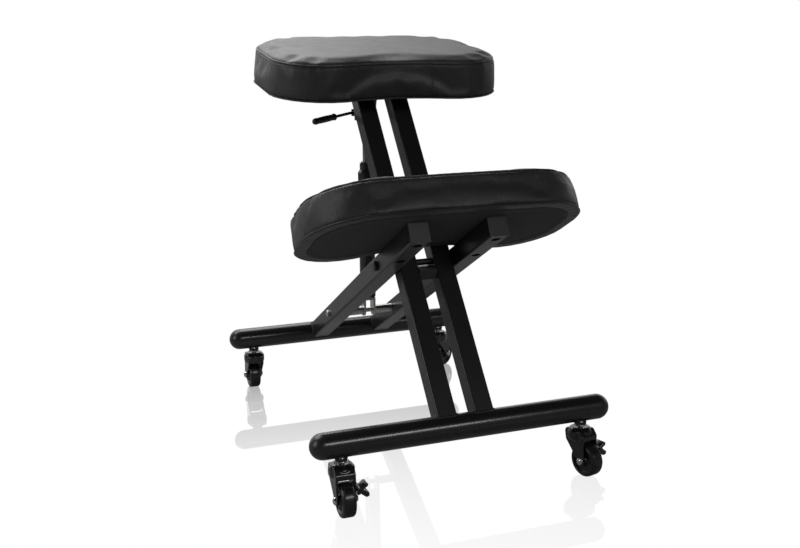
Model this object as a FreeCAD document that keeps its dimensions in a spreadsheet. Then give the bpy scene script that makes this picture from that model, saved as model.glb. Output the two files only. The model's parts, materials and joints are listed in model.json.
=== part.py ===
import FreeCAD, Part
import math
import os

import Sketcher
from FreeCAD import Placement, Rotation, Vector

# Kneeling chair. Millimetres, +Z up, X across the chair, -Y towards the knee pad (front).
# Origin: on the floor, in the middle of the bounding box.

DRIVING_SIZES = {
    # base bars and their caps
    "bar_spacing": 576, "bar_height": 101, "bar_diameter": 38, "bar_wall": 2,
    "bar_half_length": 213, "cap_lip": 1, "cap_plug_length": 14, "caster_offset": 188,
    # square tubes of the scissor frame
    "tube_side": 30, "tube_wall": 2, "tube_corner": 3, "seat_tube_offset": 29,
    "knee_tube_offset": 60, "seat_tube_lean": 38.7, "pivot_distance": 268,
    "knee_tube_reach": 163, "pivot_hole_radius": 7, "axle_hole_radius": 4.1,
    "brace_depth": 30, "brace_height": 16, "brace_distance": 250,
    # seat pad
    "seat_centre_rear": 105, "seat_centre_height": 573, "seat_tilt": 8.5,
    "seat_half_width": 197, "seat_half_depth": 142, "seat_lobe": 92, "seat_corner": 104,
    "seat_waist": 126, "seat_crown": 147, "seat_thickness": 65,
    # knee pad
    "knee_half_width": 217, "knee_half_depth": 113, "knee_lobe": 82, "knee_corner": 104,
    "knee_waist": 71, "knee_crown": 116, "knee_thickness": 60, "knee_centre_reach": 97,
    # boards, covers and plate
    "board_thickness": 12, "board_inset": 8, "edge_round": 9, "dust_inset": 24,
    "dust_thickness": 1, "plate_width": 150, "plate_depth": 180, "plate_thickness": 4,
    # screws
    "screw_radius": 3, "screw_head_radius": 5.5, "screw_head_height": 4, "access_radius": 7,
    "knee_screw_front": 148, "knee_screw_rear": 70, "seat_screw_x": 58, "seat_screw_y": 68,
    # pivot bolt
    "pivot_radius": 5, "bush_radius": 6.95, "washer_radius": 11, "washer_gap": 1,
    # gas strut
    "strut_foot_distance": 312, "strut_top_rear": 152, "strut_top_height": 548,
    "cylinder_radius": 14, "cylinder_bore": 12.2, "cylinder_start": 24, "cylinder_end": 268,
    "neck_radius": 10.5, "rod_radius": 5, "rod_start": 118, "rod_end": 347,
    "head_width": 18, "head_depth": 22, "head_grip": 8, "pin_radius": 2, "strut_pin_radius": 4,
    # release lever
    "lever_pivot_x": 17.5, "lever_height": 524.5, "lever_rod_radius": 2.5, "lever_sweep": 30,
    "lever_drop": 6, "grip_radius": 6, "grip_length": 53, "lever_bend_x": 26,
    # casters
    "wheel_radius": 25, "wheel_width": 20, "caster_trail": 16, "fork_inner": 22.8,
    "fork_outer": 29.6, "fork_roof": 54, "fork_top": 74, "fork_radius": 19,
    "stem_radius": 4, "insert_radius": 6.5, "axle_radius": 3,
    "swivel_front_left": 0, "swivel_front_right": 15, "swivel_rear_left": 180,
    "swivel_rear_right": 125,
}

PARTS = []
DOCUMENT = FreeCAD.newDocument("kneeling_chair")
SHEET = DOCUMENT.addObject("Spreadsheet::Sheet", "sizes")
for row, (alias, number) in enumerate(DRIVING_SIZES.items(), start=1):
    SHEET.set(f"A{row}", alias)
    SHEET.set(f"B{row}", str(number))
    SHEET.setAlias(f"B{row}", alias)
DOCUMENT.recompute()


def size(alias):
    """Value of one driving dimension."""
    return float(getattr(SHEET, alias))


def turn_about_x(degrees, base=(0, 0, 0)):
    """Placement at base, turned about X."""
    return Placement(Vector(*base), Rotation(Vector(1, 0, 0), degrees))


FRONT_Y = -size("bar_spacing") / 2
REAR_Y = size("bar_spacing") / 2
BAR_Z = size("bar_height")
LEAN = math.radians(size("seat_tube_lean"))
PIVOT_Y = FRONT_Y + size("pivot_distance") * math.sin(LEAN)
PIVOT_Z = BAR_Z + size("pivot_distance") * math.cos(LEAN)
KNEE_SLOPE = math.atan2(PIVOT_Z - BAR_Z, REAR_Y - PIVOT_Y)
REAR_REACH = math.hypot(PIVOT_Z - BAR_Z, REAR_Y - PIVOT_Y)
HALF_TUBE = size("tube_side") / 2

# Frames that whole groups of pieces share.
SEAT_TUBE_FRAME = turn_about_x(-size("seat_tube_lean"), (0, FRONT_Y, BAR_Z))
SEAT_PAD_FRAME = turn_about_x(size("seat_tilt"),
                              (0, size("seat_centre_rear"), size("seat_centre_height")))
# Knee frame: origin on the pivot, +Z square to the tubes' upper faces, +Y down to the rear bar.
KNEE_FRAME = turn_about_x(-math.degrees(KNEE_SLOPE), (0, PIVOT_Y, PIVOT_Z))


def in_frame(frame, x, y, z):
    """A point given in a frame, as a point of the chair."""
    return frame.multVec(Vector(x, y, z))


STRUT_FOOT = in_frame(KNEE_FRAME, 0, size("strut_foot_distance"), 0)
STRUT_TOP = Vector(0, size("strut_top_rear"), size("strut_top_height"))
STRUT_LENGTH = (STRUT_TOP - STRUT_FOOT).Length
STRUT_LEAN = math.degrees(math.atan2(STRUT_FOOT.y - STRUT_TOP.y, STRUT_TOP.z - STRUT_FOOT.z))
STRUT_FRAME = turn_about_x(STRUT_LEAN, tuple(STRUT_FOOT))


# ---- small helpers -----------------------------------------------------------------------

def finish_part(feature, label, placement=Placement()):
    """Name a finished sub-part, place it and list it for export."""
    feature.Label = label
    feature.Placement = placement.multiply(feature.Placement)
    PARTS.append(feature)
    return feature


def new_body(label, placement=Placement()):
    """A listed PartDesign body."""
    body = DOCUMENT.addObject("PartDesign::Body", "body_" + label)
    return finish_part(body, label, placement)


def new_sketch(body, plane, name, offset=0.0):
    """A sketch on one of the body's own origin planes."""
    origin_plane = [item for item in body.Origin.OriginFeatures if item.Role == plane][0]
    sketch = body.newObject("Sketcher::SketchObject", name)
    sketch.AttachmentSupport = [(origin_plane, "")]
    sketch.MapMode = "FlatFace"
    sketch.AttachmentOffset = Placement(Vector(0, 0, offset), Rotation())
    return sketch


def draw_circle(sketch, radius, centre=(0, 0)):
    """A circle whose radius is an expression on the sheet."""
    index = sketch.addGeometry(Part.Circle(Vector(*centre, 0), Vector(0, 0, 1), 1), False)
    rule = sketch.addConstraint(Sketcher.Constraint("Radius", index, 1))
    sketch.addConstraint(Sketcher.Constraint("DistanceX", index, 3, centre[0]))
    sketch.addConstraint(Sketcher.Constraint("DistanceY", index, 3, centre[1]))
    sketch.setExpression(f"Constraints[{rule}]", radius)


def draw_rectangle(sketch, width, height, centre=(0, 0)):
    """A rectangle whose width and height are expressions on the sheet."""
    left, low = centre[0] - 1, centre[1] - 1
    right, high = centre[0] + 1, centre[1] + 1
    corners = [Vector(left, low), Vector(right, low), Vector(right, high), Vector(left, high)]
    first = sketch.GeometryCount
    for start, end in zip(corners, corners[1:] + corners[:1]):
        sketch.addGeometry(Part.LineSegment(start, end), False)
    for step in range(4):
        following = first + (step + 1) % 4
        sketch.addConstraint(Sketcher.Constraint("Coincident", first + step, 2, following, 1))
        kind = "Horizontal" if step % 2 == 0 else "Vertical"
        sketch.addConstraint(Sketcher.Constraint(kind, first + step))
    middle = sketch.addGeometry(Part.Point(Vector(*centre, 0)), True)
    sketch.addConstraint(Sketcher.Constraint("DistanceX", middle, 1, centre[0]))
    sketch.addConstraint(Sketcher.Constraint("DistanceY", middle, 1, centre[1]))
    sketch.addConstraint(Sketcher.Constraint("Symmetric", first, 1, first + 1, 2, middle, 1))
    across = sketch.addConstraint(Sketcher.Constraint("DistanceX", first, 1, first, 2, 2))
    along = sketch.addConstraint(Sketcher.Constraint("DistanceY", first + 1, 1, first + 1, 2, 2))
    sketch.setExpression(f"Constraints[{across}]", width)
    sketch.setExpression(f"Constraints[{along}]", height)


def draw_outline(sketch, points):
    """A closed outline of straight lines through points."""
    corners = [Vector(x, y) for x, y in points]
    first = sketch.GeometryCount
    for start, end in zip(corners, corners[1:] + corners[:1]):
        sketch.addGeometry(Part.LineSegment(start, end), False)
    for step in range(len(corners)):
        following = first + (step + 1) % len(corners)
        sketch.addConstraint(Sketcher.Constraint("Coincident", first + step, 2, following, 1))


def pad(body, sketch, length, both_ways=False, reverse=False):
    """Pad a sketch by an expression on the sheet."""
    feature = body.newObject("PartDesign::Pad", "pad_" + sketch.Name)
    feature.Profile = sketch
    feature.SideType = "Symmetric" if both_ways else "One side"
    feature.Reversed = reverse
    feature.setExpression("Length", length)
    body.Tip = feature
    DOCUMENT.recompute()
    return feature


def pocket_through(body, sketch):
    """Cut a sketch right through the body, both ways."""
    before = body.Shape.Volume
    feature = body.newObject("PartDesign::Pocket", "pocket_" + sketch.Name)
    feature.Profile = sketch
    feature.SideType = "Two sides"
    feature.Type = "ThroughAll"
    feature.Type2 = "ThroughAll"
    body.Tip = feature
    DOCUMENT.recompute()
    if body.Shape.Volume > before - 1:
        raise RuntimeError("pocket cuts nothing: " + body.Label)
    return feature


def pocket_deep(body, sketch, length, reverse=False):
    """Cut a sketch to a depth that is an expression on the sheet."""
    before = body.Shape.Volume
    feature = body.newObject("PartDesign::Pocket", "pocket_" + sketch.Name)
    feature.Profile = sketch
    feature.Reversed = reverse
    feature.setExpression("Length", length)
    body.Tip = feature
    DOCUMENT.recompute()
    if body.Shape.Volume > before - 1:
        raise RuntimeError("pocket cuts nothing: " + body.Label)
    return feature


def revolve(body, sketch, axis):
    """Turn a sketch a full turn about one of its own axes, V_Axis or H_Axis."""
    feature = body.newObject("PartDesign::Revolution", "turn_" + sketch.Name)
    feature.Profile = sketch
    feature.ReferenceAxis = (sketch, [axis])
    feature.Angle = 360
    body.Tip = feature
    DOCUMENT.recompute()
    return feature


def round_edges(body, radius, wanted):
    """Fillet the edges that wanted(edge) picks."""
    base = body.Tip
    edges = enumerate(base.Shape.Edges, start=1)
    names = [f"Edge{number}" for number, edge in edges if wanted(edge)]
    feature = body.newObject("PartDesign::Fillet", "fillet_" + body.Label)
    feature.Base = (base, names)
    feature.setExpression("Radius", radius)
    body.Tip = feature
    DOCUMENT.recompute()
    return feature


def cylinder(name, radius, height, centre, direction=(0, 0, 1)):
    """A Part cylinder from centre along direction; radius and height are expressions."""
    feature = DOCUMENT.addObject("Part::Cylinder", name)
    feature.setExpression("Radius", radius)
    feature.setExpression("Height", height)
    feature.Placement = Placement(Vector(*centre), Rotation(Vector(0, 0, 1), Vector(*direction)))
    return feature


def block(name, length, width, height, corner, turned=Rotation()):
    """A Part box from its low corner; the three sizes are expressions."""
    feature = DOCUMENT.addObject("Part::Box", name)
    feature.setExpression("Length", length)
    feature.setExpression("Width", width)
    feature.setExpression("Height", height)
    feature.Placement = Placement(Vector(*corner), turned)
    return feature


def fuse(name, shapes):
    """Join Part shapes."""
    feature = DOCUMENT.addObject("Part::MultiFuse", name)
    feature.Shapes = shapes
    feature.Refine = True
    return feature


def cut(name, base, tools):
    """Cut Part shapes out of a base."""
    feature = DOCUMENT.addObject("Part::Cut", name)
    feature.Base = base
    feature.Tool = tools[0] if len(tools) == 1 else fuse(name + "_tools", tools)
    feature.Refine = True
    return feature


def compound(name, shapes):
    """Separate solids that share one node."""
    feature = DOCUMENT.addObject("Part::Compound", name)
    feature.Links = shapes
    return feature


# ---- base bars and end caps --------------------------------------------------------------

def build_base_bar(label, y):
    """Round tube across the chair, with a hole for each caster stem in its lower wall."""
    body = new_body(label, Placement(Vector(0, y, BAR_Z), Rotation()))
    ring = new_sketch(body, "YZ_Plane", label + "_ring")
    draw_circle(ring, "sizes.bar_diameter / 2")
    draw_circle(ring, "sizes.bar_diameter / 2 - sizes.bar_wall")
    pad(body, ring, "2 * sizes.bar_half_length", both_ways=True)
    holes = new_sketch(body, "XY_Plane", label + "_stem_holes")
    for side in (-1, 1):
        draw_circle(holes, "sizes.insert_radius + 0.05", (side * size("caster_offset"), 0))
    pocket_deep(body, holes, "sizes.bar_diameter")


def build_end_caps(label, y):
    """Pair of domed plastic caps, each with a plug that fills the end of the tube."""
    radius = size("bar_diameter") / 2
    plug = radius - size("bar_wall") - 0.05
    lip = size("cap_lip")
    caps = []
    for side, name in ((-1, "left"), (1, "right")):
        body = DOCUMENT.addObject("PartDesign::Body", f"{label}_{name}")
        sketch = new_sketch(body, "XZ_Plane", f"{label}_{name}_profile")
        depth = size("cap_plug_length")
        start = Vector(lip, radius)
        crown = Vector(lip + radius, 0)
        mid = Vector(lip + radius * math.sin(math.pi / 4), radius * math.cos(math.pi / 4))
        path = [Vector(-depth, 0), Vector(-depth, plug), Vector(0, plug), Vector(0, radius), start]
        for first, second in zip(path, path[1:]):
            sketch.addGeometry(Part.LineSegment(first, second), False)
        sketch.addGeometry(Part.Arc(start, mid, crown), False)
        sketch.addGeometry(Part.LineSegment(crown, path[0]), False)
        revolve(body, sketch, "H_Axis")
        spin = Rotation(Vector(0, 0, 1), 0 if side > 0 else 180)
        body.Placement = Placement(Vector(side * size("bar_half_length"), y, BAR_Z), spin)
        caps.append(body)
    finish_part(compound(label + "_pair", caps), label)


# ---- seat tubes --------------------------------------------------------------------------

def square_tube(body, name, length, offset=0.0):
    """Hollow square section along the body's Z, from offset."""
    sketch = new_sketch(body, "XY_Plane", name + "_section", offset)
    draw_rectangle(sketch, "sizes.tube_side", "sizes.tube_side")
    pad(body, sketch, length)
    round_edges(body, "sizes.tube_corner", is_along_z)
    hollow = new_sketch(body, "XY_Plane", name + "_hollow", offset)
    inner = "sizes.tube_side - 2 * sizes.tube_wall"
    draw_rectangle(hollow, inner, inner)
    pocket_through(body, hollow)


def is_along_z(edge):
    """True for a straight edge that runs along Z."""
    first, last = edge.Vertexes[0].Point, edge.Vertexes[-1].Point
    return math.hypot(first.x - last.x, first.y - last.y) < 0.01 and abs(first.z - last.z) > 1


def build_seat_tube(label, side):
    """Square tube from the front bar up to the seat plate, coped round and mitred on top."""
    frame = SEAT_TUBE_FRAME.multiply(
        Placement(Vector(side * size("seat_tube_offset"), 0, 0), Rotation()))
    body = new_body(label, frame)
    plate_under = in_frame(SEAT_PAD_FRAME, 0, 0, -size("dust_thickness") - size("plate_thickness"))
    local = frame.inverse().multVec(plate_under)
    mitre = size("seat_tilt") + size("seat_tube_lean")
    top_middle = local.z - local.y * math.tan(math.radians(mitre))
    square_tube(body, label, f"{top_middle} + 2 * sizes.tube_side")
    cope = new_sketch(body, "YZ_Plane", label + "_cope")
    draw_circle(cope, "sizes.bar_diameter / 2 + 0.02")
    pocket_through(body, cope)
    pivot = new_sketch(body, "YZ_Plane", label + "_pivot_hole")
    draw_circle(pivot, "sizes.pivot_hole_radius", (0, size("pivot_distance")))
    pocket_through(body, pivot)
    top_cut = new_sketch(body, "YZ_Plane", label + "_mitre")
    slope = math.tan(math.radians(mitre))
    reach = size("tube_side")
    low, high = top_middle - reach * slope, top_middle + reach * slope
    draw_outline(top_cut, [(-reach, low), (reach, high), (reach, high + 200), (-reach, high + 200)])
    pocket_through(body, top_cut)


def build_tube_brace():
    """Short flat strut welded between the seat tubes just below the pivot."""
    width = "2 * (sizes.seat_tube_offset - sizes.tube_side / 2)"
    half = size("seat_tube_offset") - HALF_TUBE
    middle = in_frame(SEAT_TUBE_FRAME, 0, 0, size("brace_distance"))
    corner = (-half, middle.y - size("brace_depth") / 2, middle.z - size("brace_height") / 2)
    bar = block("brace_block", width, "sizes.brace_depth", "sizes.brace_height", corner)
    hollow_corner = (-half, corner[1] + 2, corner[2] + 2)
    hollow = block("brace_hollow", width, "sizes.brace_depth - 4", "sizes.brace_height - 4",
                   hollow_corner)
    finish_part(cut("brace_cut", bar, [hollow]), "seat_tube_brace")


# ---- knee tubes --------------------------------------------------------------------------

def build_knee_tube(label, side):
    """Square tube from the rear bar up past the pivot, with screw access holes underneath."""
    spin = Rotation(Vector(1, 0, 0), 90)
    frame = KNEE_FRAME.multiply(Placement(Vector(side * size("knee_tube_offset"), 0, 0), spin))
    body = new_body(label, frame)
    square_tube(body, label, f"{REAR_REACH} + sizes.knee_tube_reach", -REAR_REACH)
    cope = new_sketch(body, "YZ_Plane", label + "_cope")
    draw_circle(cope, "sizes.bar_diameter / 2 + 0.02", (0, -REAR_REACH))
    pocket_through(body, cope)
    for tag, radius, place in (("pivot", "sizes.pivot_radius + 0.05", 0),
                               ("axle", "sizes.axle_hole_radius", -size("strut_foot_distance"))):
        hole = new_sketch(body, "YZ_Plane", f"{label}_{tag}_hole")
        draw_circle(hole, radius, (0, place))
        pocket_through(body, hole)
    screws = new_sketch(body, "XZ_Plane", label + "_screw_holes")
    access = new_sketch(body, "XZ_Plane", label + "_access_holes")
    for alias in ("knee_screw_front", "knee_screw_rear"):
        draw_circle(screws, "sizes.screw_radius + 0.1", (0, size(alias)))
        draw_circle(access, "sizes.access_radius", (0, size(alias)))
    pocket_through(body, screws)
    before = body.Tip.Shape.copy()
    cutter = pocket_deep(body, access, "sizes.tube_side")
    if before.cut(body.Tip.Shape).CenterOfGravity.y > 0:
        cutter.Reversed = True
        DOCUMENT.recompute()


def build_tube_plugs():
    """Plates that close the top ends of the knee tubes."""
    plugs = []
    for side, name in ((-1, "left"), (1, "right")):
        x = side * size("knee_tube_offset") - HALF_TUBE + size("tube_wall") + 0.05
        y = -size("knee_tube_reach")
        inner = "sizes.tube_side - 2 * sizes.tube_wall - 0.1"
        half = HALF_TUBE - size("tube_wall") - 0.05
        plug = block(f"plug_{name}", inner, "8", inner, (x, y, -half))
        face_x = side * size("knee_tube_offset") - HALF_TUBE
        face = block(f"plug_face_{name}", "sizes.tube_side", "1.6", "sizes.tube_side",
                     (face_x, y - 1.6, -HALF_TUBE))
        plugs.append(fuse(f"plug_whole_{name}", [plug, face]))
    finish_part(compound("knee_plugs", plugs), "knee_tube_end_plugs", KNEE_FRAME)


# ---- pads --------------------------------------------------------------------------------

def bean_outline(prefix, inset):
    """Arcs and lines of a bean-shaped pad: waist on -Y, gentle crown on +Y.

    Two lobes beside the waist and two corners beside the crown are joined by straight ends.
    """
    half_width = size(prefix + "_half_width") - inset
    half_depth = size(prefix + "_half_depth") - inset
    lobe = size(prefix + "_lobe") - inset
    corner = size(prefix + "_corner") - inset
    waist = size(prefix + "_waist") - inset
    crown = size(prefix + "_crown") - inset
    lobe_x, lobe_y = half_width - lobe, lobe - half_depth
    corner_x, corner_y = half_width - corner, half_depth - corner
    rise = crown - corner_y - corner
    crown_drop = (corner_x ** 2 - rise ** 2) / (2 * rise)
    crown_radius = rise + crown_drop + corner
    dip = lobe_y + waist
    waist_radius = (lobe_x ** 2 + dip ** 2 - lobe ** 2) / (2 * (lobe - dip))
    waist_y = -waist - waist_radius
    crown_y = crown - crown_radius
    touch = Vector(corner_x, corner_y - crown_y).normalize() * crown_radius
    crown_end = Vector(touch.x, crown_y + touch.y)
    reach = waist_radius / (waist_radius + lobe)
    waist_end = Vector(lobe_x * reach, waist_y + (lobe_y - waist_y) * reach)
    diagonal = math.sqrt(0.5)

    def mirror(point):
        return Vector(-point.x, point.y)

    corner_mid = Vector(corner_x + corner * diagonal, corner_y + corner * diagonal)
    lobe_mid = Vector(lobe_x + lobe * diagonal, lobe_y - lobe * diagonal)
    side_top, side_low = Vector(half_width, corner_y), Vector(half_width, lobe_y)
    return [
        Part.Arc(mirror(crown_end), Vector(0, crown), crown_end),
        Part.Arc(crown_end, corner_mid, side_top),
        Part.LineSegment(side_top, side_low),
        Part.Arc(side_low, lobe_mid, waist_end),
        Part.Arc(waist_end, Vector(0, -waist), mirror(waist_end)),
        Part.Arc(mirror(waist_end), mirror(lobe_mid), mirror(side_low)),
        Part.LineSegment(mirror(side_low), mirror(side_top)),
        Part.Arc(mirror(side_top), mirror(corner_mid), mirror(crown_end)),
    ]


def draw_bean(sketch, prefix, inset):
    """Put the bean outline in a sketch, with its ends joined."""
    shapes = bean_outline(prefix, inset)
    sketch.addGeometry(shapes, False)


def build_pad_set(prefix, frame):
    """Cushion with a recess for its board, the board, and the dust cover below them."""
    gap = 0.3
    cushion = new_body(prefix + "_cushion", frame)
    outline = new_sketch(cushion, "XY_Plane", prefix + "_cushion_outline")
    draw_bean(outline, prefix, 0)
    pad(cushion, outline, f"sizes.{prefix}_thickness")
    round_edges(cushion, "sizes.edge_round", lambda edge: not is_along_z(edge))
    recess = new_sketch(cushion, "XY_Plane", prefix + "_cushion_recess")
    draw_bean(recess, prefix, size("board_inset") - gap)
    pocket_deep(cushion, recess, "sizes.board_thickness", reverse=True)
    board = new_body(prefix + "_board", frame)
    board_outline = new_sketch(board, "XY_Plane", prefix + "_board_outline")
    draw_bean(board_outline, prefix, size("board_inset"))
    pad(board, board_outline, "sizes.board_thickness")
    cover = new_body(prefix + "_dust_cover", frame)
    cover_outline = new_sketch(cover, "XY_Plane", prefix + "_dust_outline")
    draw_bean(cover_outline, prefix, size("dust_inset"))
    pad(cover, cover_outline, "sizes.dust_thickness", reverse=True)
    return board, cover


def drill(body, name, places, radius):
    """Round holes right through a pad piece."""
    holes = new_sketch(body, "XY_Plane", name)
    for place in places:
        draw_circle(holes, radius, place)
    pocket_through(body, holes)


def screw(name, head_z, tip_z, x, y):
    """Cap screw along Z: head below, shank up to tip_z."""
    head = cylinder(name + "_head", "sizes.screw_head_radius", "sizes.screw_head_height",
                    (x, y, head_z))
    shank_z = head_z + size("screw_head_height")
    shank = cylinder(name + "_shank", "sizes.screw_radius", str(tip_z - shank_z), (x, y, shank_z))
    return fuse(name, [head, shank])


def build_seat_pad():
    """Seat cushion set, its steel plate and its four screws."""
    board, cover = build_pad_set("seat", SEAT_PAD_FRAME)
    x, y = size("seat_screw_x"), size("seat_screw_y")
    places = [(side * x, end * y) for side in (-1, 1) for end in (-1, 1)]
    for body, name in ((board, "seat_board_holes"), (cover, "seat_cover_holes")):
        drill(body, name, places, "sizes.screw_radius + 0.1")
    plate = new_body("seat_plate", SEAT_PAD_FRAME)
    sheet = new_sketch(plate, "XY_Plane", "seat_plate_outline", -size("dust_thickness"))
    draw_rectangle(sheet, "sizes.plate_width", "sizes.plate_depth")
    pad(plate, sheet, "sizes.plate_thickness", reverse=True)
    round_edges(plate, "12", is_along_z)
    drill(plate, "seat_plate_holes", places, "sizes.screw_radius + 0.1")
    under = -size("dust_thickness") - size("plate_thickness")
    head_z = under - size("screw_head_height")
    screws = [screw(f"seat_screw_{n}", head_z, 9, *place) for n, place in enumerate(places)]
    finish_part(compound("seat_screw_group", screws), "seat_screws", SEAT_PAD_FRAME)


def build_knee_pad():
    """Knee cushion set and the four screws that hold it from inside the knee tubes."""
    lift = HALF_TUBE + size("dust_thickness")
    centre = -size("knee_centre_reach")
    # The bean's waist faces the seat tubes, so the outline is turned half round.
    half_turn = Rotation(Vector(0, 0, 1), 180)
    frame = KNEE_FRAME.multiply(Placement(Vector(0, centre, lift), half_turn))
    board, cover = build_pad_set("knee", frame)
    tube_x = size("knee_tube_offset")
    reaches = (size("knee_screw_front"), size("knee_screw_rear"))
    places = [(side * tube_x, reach + centre) for side in (-1, 1) for reach in reaches]
    for body, name in ((board, "knee_board_holes"), (cover, "knee_cover_holes")):
        drill(body, name, places, "sizes.screw_radius + 0.1")
    head_z = HALF_TUBE - size("tube_wall") - size("screw_head_height")
    screws = []
    for number, (x, y) in enumerate(places):
        screws.append(screw(f"knee_screw_{number}", head_z, lift + 9, x, -(y - centre)))
    finish_part(compound("knee_screw_group", screws), "knee_screws", KNEE_FRAME)


# ---- pivot -------------------------------------------------------------------------------

def build_pivot():
    """Bolt through all four tubes, its nut, and the flanged bushes the seat tubes turn on."""
    outer = size("knee_tube_offset") + HALF_TUBE
    along = (1, 0, 0)
    shank = cylinder("pivot_shank", "sizes.pivot_radius", str(2 * outer + 11), (-outer, 0, 0), along)
    head = cylinder("pivot_head", "8", "5", (-outer - 5, 0, 0), along)
    finish_part(fuse("pivot_bolt_whole", [shank, head]), "pivot_bolt", KNEE_FRAME)
    nut_body = cylinder("pivot_nut_round", "8", "8", (outer, 0, 0), along)
    nut_bore = cylinder("pivot_nut_bore", "sizes.pivot_radius + 0.02", "8", (outer, 0, 0), along)
    finish_part(cut("pivot_nut_cut", nut_body, [nut_bore]), "pivot_nut", KNEE_FRAME)
    frame = turn_about_x(-size("seat_tube_lean"), (0, PIVOT_Y, PIVOT_Z))
    inner = size("seat_tube_offset") - HALF_TUBE
    bushes = []
    for side in (-1, 1):
        start = side * (size("seat_tube_offset") + HALF_TUBE)
        sleeve_from = -inner - size("tube_side") if side < 0 else inner
        tag = "left" if side < 0 else "right"
        sleeve = cylinder(f"bush_sleeve_{tag}", "sizes.bush_radius", "sizes.tube_side",
                          (sleeve_from, 0, 0), along)
        flange_from = start if side > 0 else start - size("washer_gap") + 0.1
        flange = cylinder(f"bush_flange_{tag}", "sizes.washer_radius", "sizes.washer_gap - 0.1",
                          (flange_from, 0, 0), along)
        whole = fuse(f"bush_whole_{tag}", [sleeve, flange])
        bore = cylinder(f"bush_bore_{tag}", "sizes.pivot_radius + 0.05", "60",
                        (side * inner - 15 + side * 15 - 15, 0, 0), along)
        bushes.append(cut(f"bush_{tag}", whole, [bore]))
    finish_part(compound("bush_pair", bushes), "pivot_bushes", frame)


# ---- gas strut ---------------------------------------------------------------------------

def turned_piece(label, profile, frame):
    """Piece turned about Z from (radius, height) points, listed and placed."""
    body = new_body(label, frame)
    sketch = new_sketch(body, "XZ_Plane", label + "_profile")
    draw_outline(sketch, profile)
    revolve(body, sketch, "V_Axis")
    return body


def build_strut_cylinder():
    """Black pressure tube: closed foot, hollow barrel, crimped neck with the rod's guide bore."""
    radius, bore = size("cylinder_radius"), size("cylinder_bore")
    start, end = size("cylinder_start"), size("cylinder_end")
    neck, guide = size("neck_radius"), size("rod_radius") + 0.05
    turned_piece("strut_cylinder", [
        (0, start), (radius - 2, start), (radius, start + 2), (radius, end - 16),
        (neck, end - 11), (neck, end), (guide, end), (guide, end - 14),
        (bore, end - 14), (bore, start + 6), (0, start + 6)], STRUT_FRAME)


def build_strut_rod():
    """Bright piston rod with a bore for the release pin, and the piston on its lower end."""
    radius, pin = size("rod_radius"), size("pin_radius") + 0.05
    start, end = size("rod_start"), size("rod_end")
    turned_piece("strut_rod", [
        (0, start), (radius, start), (radius, end), (pin, end), (pin, end - 60), (0, end - 60)],
        STRUT_FRAME)
    piston = size("cylinder_bore") - 0.1
    turned_piece("strut_piston", [
        (radius + 0.02, start), (piston, start), (piston, start + 10), (radius + 0.02, start + 10)],
        STRUT_FRAME)


def build_strut_clevis():
    """Zinc fork at the foot of the cylinder, whose two ears turn on the lower axle."""
    start = size("cylinder_start")
    ears = []
    for side in (-1, 1):
        x = -11 if side < 0 else 7
        ears.append(block(f"clevis_ear_{x}", "4", "20", str(start - 4), (x, -10, 0)))
        ears.append(cylinder(f"clevis_round_{x}", "10", "4", (x, 0, 0), (1, 0, 0)))
    bridge = block("clevis_bridge", "22", "20", "4", (-11, -10, start - 4))
    bore = cylinder("clevis_bore", "sizes.axle_hole_radius", "40", (-20, 0, 0), (1, 0, 0))
    finish_part(cut("clevis_cut", fuse("clevis_whole", ears + [bridge]), [bore]),
                "strut_lower_clevis", STRUT_FRAME)


def build_lower_axle():
    """Bolt that carries the strut's foot between the knee tubes, with its two spacer sleeves."""
    outer = size("knee_tube_offset") + HALF_TUBE
    y = size("strut_foot_distance")
    along = (1, 0, 0)
    shank = cylinder("axle_shank", "sizes.axle_hole_radius - 0.1", str(2 * outer),
                     (-outer, y, 0), along)
    head = cylinder("axle_head", "6.5", "4", (-outer - 4, y, 0), along)
    nut = cylinder("axle_nut", "6.5", "5", (outer, y, 0), along)
    finish_part(fuse("axle_whole", [shank, head, nut]), "strut_lower_bolt", KNEE_FRAME)
    gap = size("knee_tube_offset") - HALF_TUBE
    sleeves = []
    for side in (-1, 1):
        start = -gap if side < 0 else 11.3
        tube = cylinder(f"sleeve_{side + 1}", "7.5", str(gap - 11.3), (start, y, 0), along)
        bore = cylinder(f"sleeve_bore_{side + 1}", "sizes.axle_hole_radius", str(gap - 11.3),
                        (start, y, 0), along)
        sleeves.append(cut(f"sleeve_cut_{side + 1}", tube, [bore]))
    finish_part(compound("sleeve_pair", sleeves), "strut_lower_sleeves", KNEE_FRAME)


def build_strut_head():
    """Block on top of the rod: slot for the lever's tongue, loose hole for the upper pin."""
    width, depth = size("head_width"), size("head_depth")
    low = size("rod_end") - size("head_grip")
    high = STRUT_LENGTH + 9
    body = block("head_block", "sizes.head_width", "sizes.head_depth", str(high - low),
                 (-width / 2, -depth / 2, low))
    slot_z = size("lever_height") - STRUT_FOOT.z - 6.5
    slot = block("head_slot", "sizes.head_width", "13", "12", (-width / 2, -6.5, slot_z))
    rod_bore = cylinder("head_rod_bore", "sizes.rod_radius + 0.02", "sizes.head_grip + 0.5", (0, 0, low - 0.5))
    pin_bore = cylinder("head_pin_bore", "sizes.pin_radius + 0.05", "40", (0, 0, low))
    pin_hole = cylinder("head_pin_hole", "sizes.strut_pin_radius + 1.6", "sizes.head_width",
                        (-width / 2, 0, STRUT_LENGTH), (1, 0, 0))
    pin_bore.setExpression("Height", str(slot_z - low + 1))
    finish_part(cut("head_cut", body, [slot, rod_bore, pin_bore, pin_hole]), "strut_head",
                STRUT_FRAME)
    top = size("lever_height") - STRUT_FOOT.z - 2.8
    pin = cylinder("release_pin_shape", "sizes.pin_radius", str(top - size("rod_end") + 50),
                   (0, 0, size("rod_end") - 50))
    finish_part(pin, "release_pin", STRUT_FRAME)


# ---- bracket under the seat and release lever ---------------------------------------------

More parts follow.
